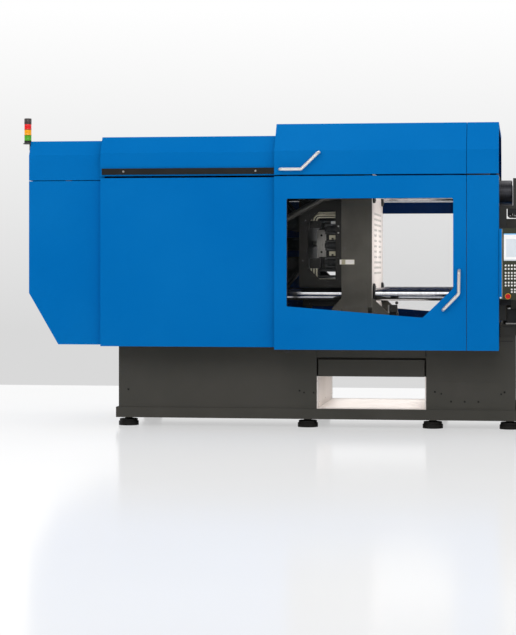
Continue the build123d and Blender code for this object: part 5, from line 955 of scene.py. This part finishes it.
# Keys of the control panel: round caps in blocks, with a wider gap between the blocks
values = {
    "rows": {1.324: 13, 1.297: 13, 1.2666: 13, 1.2434: 13, 1.220: 13, 1.1898: 13, 1.1666: 13, 1.136: 11,
             1.1155: 11},
    "lastColumn": 0.220, "pitch": 0.024, "radius": 0.0075, "height": 0.003, "sides": 16,
}
panelLow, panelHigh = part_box("control_panel")
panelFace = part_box("panel_display")[0].y
radius, lift = values["radius"], values["height"]
outline = (0, 0), (radius, 0), (radius, lift * 0.6), (radius * 0.8, lift), (0, lift * 1.1)
places = [(values["lastColumn"] - column * values["pitch"], panelFace, height)
          for height, count in values["rows"].items() for column in range(count)]
makeTurned("panel_keys", places, (0, -1, 0), outline, values["sides"], keyRubber, "control_panel")

# Blue side strip of the panel with a pale trim line beside it
values = {"width": 0.021, "trim": 0.0035, "lift": 0.003, "sink": 0.002, "ends": (0.01, 0.004),
          "stripEdge": 0.001, "trimEdge": 0.0008}
near, far = panelFace - values["lift"], panelFace + values["sink"]
low, high = panelLow.z + values["ends"][0], panelHigh.z - values["ends"][1]
stripX = panelLow.x + values["width"]
makeBlocks("panel_side_strip", (((panelLow.x, near, low), (stripX, far, high)),), values["stripEdge"],
           guardPaint, "control_panel")
makeBlocks("panel_trim_line", (((stripX, near, low), (stripX + values["trim"], far, high)),),
           values["trimEdge"], sandNylon, "control_panel")

# White pull knob at the panel's lower left corner
values = {"place": (-0.107, 1.071), "radius": 0.0075, "reach": 0.012, "sides": 20}
knobX, knobZ = values["place"]
radius, reach = values["radius"], values["reach"]
outline = ((0, 0), (radius * 0.6, 0), (radius * 0.6, reach * 0.3), (radius, reach * 0.55),
           (radius * 0.8, reach * 0.9), (0, reach))
makeTurned("panel_knob", [(knobX, panelFace, knobZ)], (0, -1, 0), outline, values["sides"], keyRubber,
           "control_panel")

# Backing plate of the stop button
values = {"outline": ((0.0105, 0), (0.0235, 0), (0.0235, 0.0045), (0.0225, 0.0052), (0.0105, 0.0052)),
          "sides": 32}
stopMiddle = sum(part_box("stop_button"), Vector()) / 2
makeTurned("stop_backing_plate", [(stopMiddle.x, panelFace, stopMiddle.z)], (0, -1, 0), values["outline"],
           values["sides"], yellowPlastic, "control_panel")
print("control panel ready")

# Plain floor and soft light
stageValues = {
    "floorX": (-20, 20),
    "floorY": (-22, 4.36),
    "floorColours": ("#FAFAFA", "#FFFFFF"),
    "cloudLength": 2500,
    "floorGlow": 0.5,
    "wallLow": "#D9D9D9",
    "wallHigh": "#FFFFFF",
    "belowFloor": "#F0F0F0",
    "mirroredFloor": "#6E6E70",
    "mirroredDark": "#1C1D20",
    "mirroredBand": "#FFFFFF",
    "mirroredCeiling": "#4A4B4F",
    "worldStrength": 0.80,
}


def makeFloor(values):
    shape = bmesh.new()
    (left, right), (front, back) = values["floorX"], values["floorY"]
    spots = ((left, front, 0), (right, front, 0), (right, back, 0), (left, back, 0))
    shape.faces.new([shape.verts.new(spot) for spot in spots])
    mesh = bpy.data.meshes.new("floor")
    shape.to_mesh(mesh)
    shape.free()
    material, tree, surface, place = startMaterial("polished_pale_floor")
    addTone(tree, surface, addNoise(tree, place, values["cloudLength"], 2), *values["floorColours"])
    setPlain(surface, Roughness=0.14, Specular_IOR_Level=0.25)
    pale = addNode(tree, "Emission", {"Color": (1, 1, 1, 1), "Strength": 1.0})
    path = addNode(tree, "LightPath")
    seen = addMath(tree, "MAXIMUM", (path, "Is Camera Ray"), (path, "Is Transmission Ray"))
    share = addMath(tree, "MULTIPLY", seen, values["floorGlow"])
    blend = addNode(tree, "MixShader", links={0: share, 1: (surface, "BSDF"), 2: (pale, "Emission")})
    output = next(node for node in tree.nodes if node.type == "OUTPUT_MATERIAL")
    tree.links.new(blend.outputs["Shader"], output.inputs["Surface"])
    mesh.materials.append(material)
    floor = bpy.data.objects.new("floor", mesh)
    scene.collection.objects.link(floor)


def makeWorld(values):
    world = bpy.data.worlds.new("soft_studio")
    scene.world = world
    world.use_nodes = True
    tree = world.node_tree
    tree.nodes.clear()
    place = addNode(tree, "TexCoord")
    way = addNode(tree, "SeparateXYZ", links={"Vector": (place, "Generated")})
    height = addNode(tree, "MapRange", {"From Min": -0.3, "From Max": 0.3}, {"Value": (way, "Z")}), "Result"
    wall = addRamp(tree, height, {0: values["belowFloor"], 0.34: values["belowFloor"],
                                  0.385: values["wallLow"], 0.44: values["wallLow"],
                                  0.72: values["wallHigh"]})
    # What metal mirrors from the front of the studio: a bright band between a dark floor and a dim ceiling
    band = addRamp(tree, height, {0: values["mirroredFloor"], 0.40: values["mirroredFloor"],
                                  0.52: values["mirroredDark"], 0.66: values["mirroredBand"],
                                  0.90: values["mirroredBand"], 1: values["mirroredCeiling"]})
    seen = addNode(tree, "Background", {"Strength": 1.0}, {"Color": wall})
    shone = addNode(tree, "Background", {"Color": (1, 1, 1, 1), "Strength": values["worldStrength"]})
    mirrored = addNode(tree, "Background", {"Strength": 1.0}, {"Color": band})
    path = addNode(tree, "LightPath")
    glossy = (path, "Is Glossy Ray")
    glossyFront = addMath(tree, "MULTIPLY", glossy, addMath(tree, "LESS_THAN", (way, "Y"), 0.0))
    direct = addMath(tree, "MAXIMUM", (path, "Is Camera Ray"), glossy)
    either = addMath(tree, "MAXIMUM", direct, (path, "Is Transmission Ray"))
    shades = {0: either, 1: (shone, "Background"), 2: (seen, "Background")}
    blend = addNode(tree, "MixShader", links=shades)
    shades = {0: glossyFront, 1: (blend, "Shader"), 2: (mirrored, "Background")}
    whole = addNode(tree, "MixShader", links=shades)
    addNode(tree, "OutputWorld", links={"Surface": (whole, "Shader")})


def addSoftbox(name, place, aim, size, power, spreadDegrees=180):
    lamp = bpy.data.lights.new(name, "AREA")
    lamp.shape = "RECTANGLE"
    lamp.spread = math.radians(spreadDegrees)
    lamp.size, lamp.size_y = size
    lamp.energy = power
    softbox = bpy.data.objects.new(name, lamp)
    softbox.location = place
    softbox.rotation_euler = (Vector(aim) - Vector(place)).to_track_quat("-Z", "Y").to_euler()
    softbox.visible_camera = False
    scene.collection.objects.link(softbox)


makeFloor(stageValues)
makeWorld(stageValues)
# Lamps by place, aim, size, power and spread in degrees: two softboxes, and two small ones that the camera
# doesn't see, in the roof of the passage and in the mould space
linerMiddle, roofGap, mouldGap = (linerLow.x + linerHigh.x) / 2, 0.004, 0.03
lampValues = {
    "front_softbox": ((-2.0, -9.0, 5.5), (-1.5, 0, 1.2), (9, 4), 230),
    "top_softbox": ((-1.0, 0.5, 7.5), (-1.0, 0, 0), (9, 5), 130),
    "passage_lamp": ((linerMiddle, 0, linerHigh.z - roofGap), (linerMiddle, 0, 0), (0.8, 1.1), 3.0, 80),
    "mould_space_lamp": ((fixedFaceX - mouldGap, 0, axisHeight), (fixedFaceX - 1.0, 0, axisHeight),
                         (0.9, 0.9), 4.8, 120),
}
for name, lamp in lampValues.items():
    addSoftbox(name, *lamp)
print("stage ready")
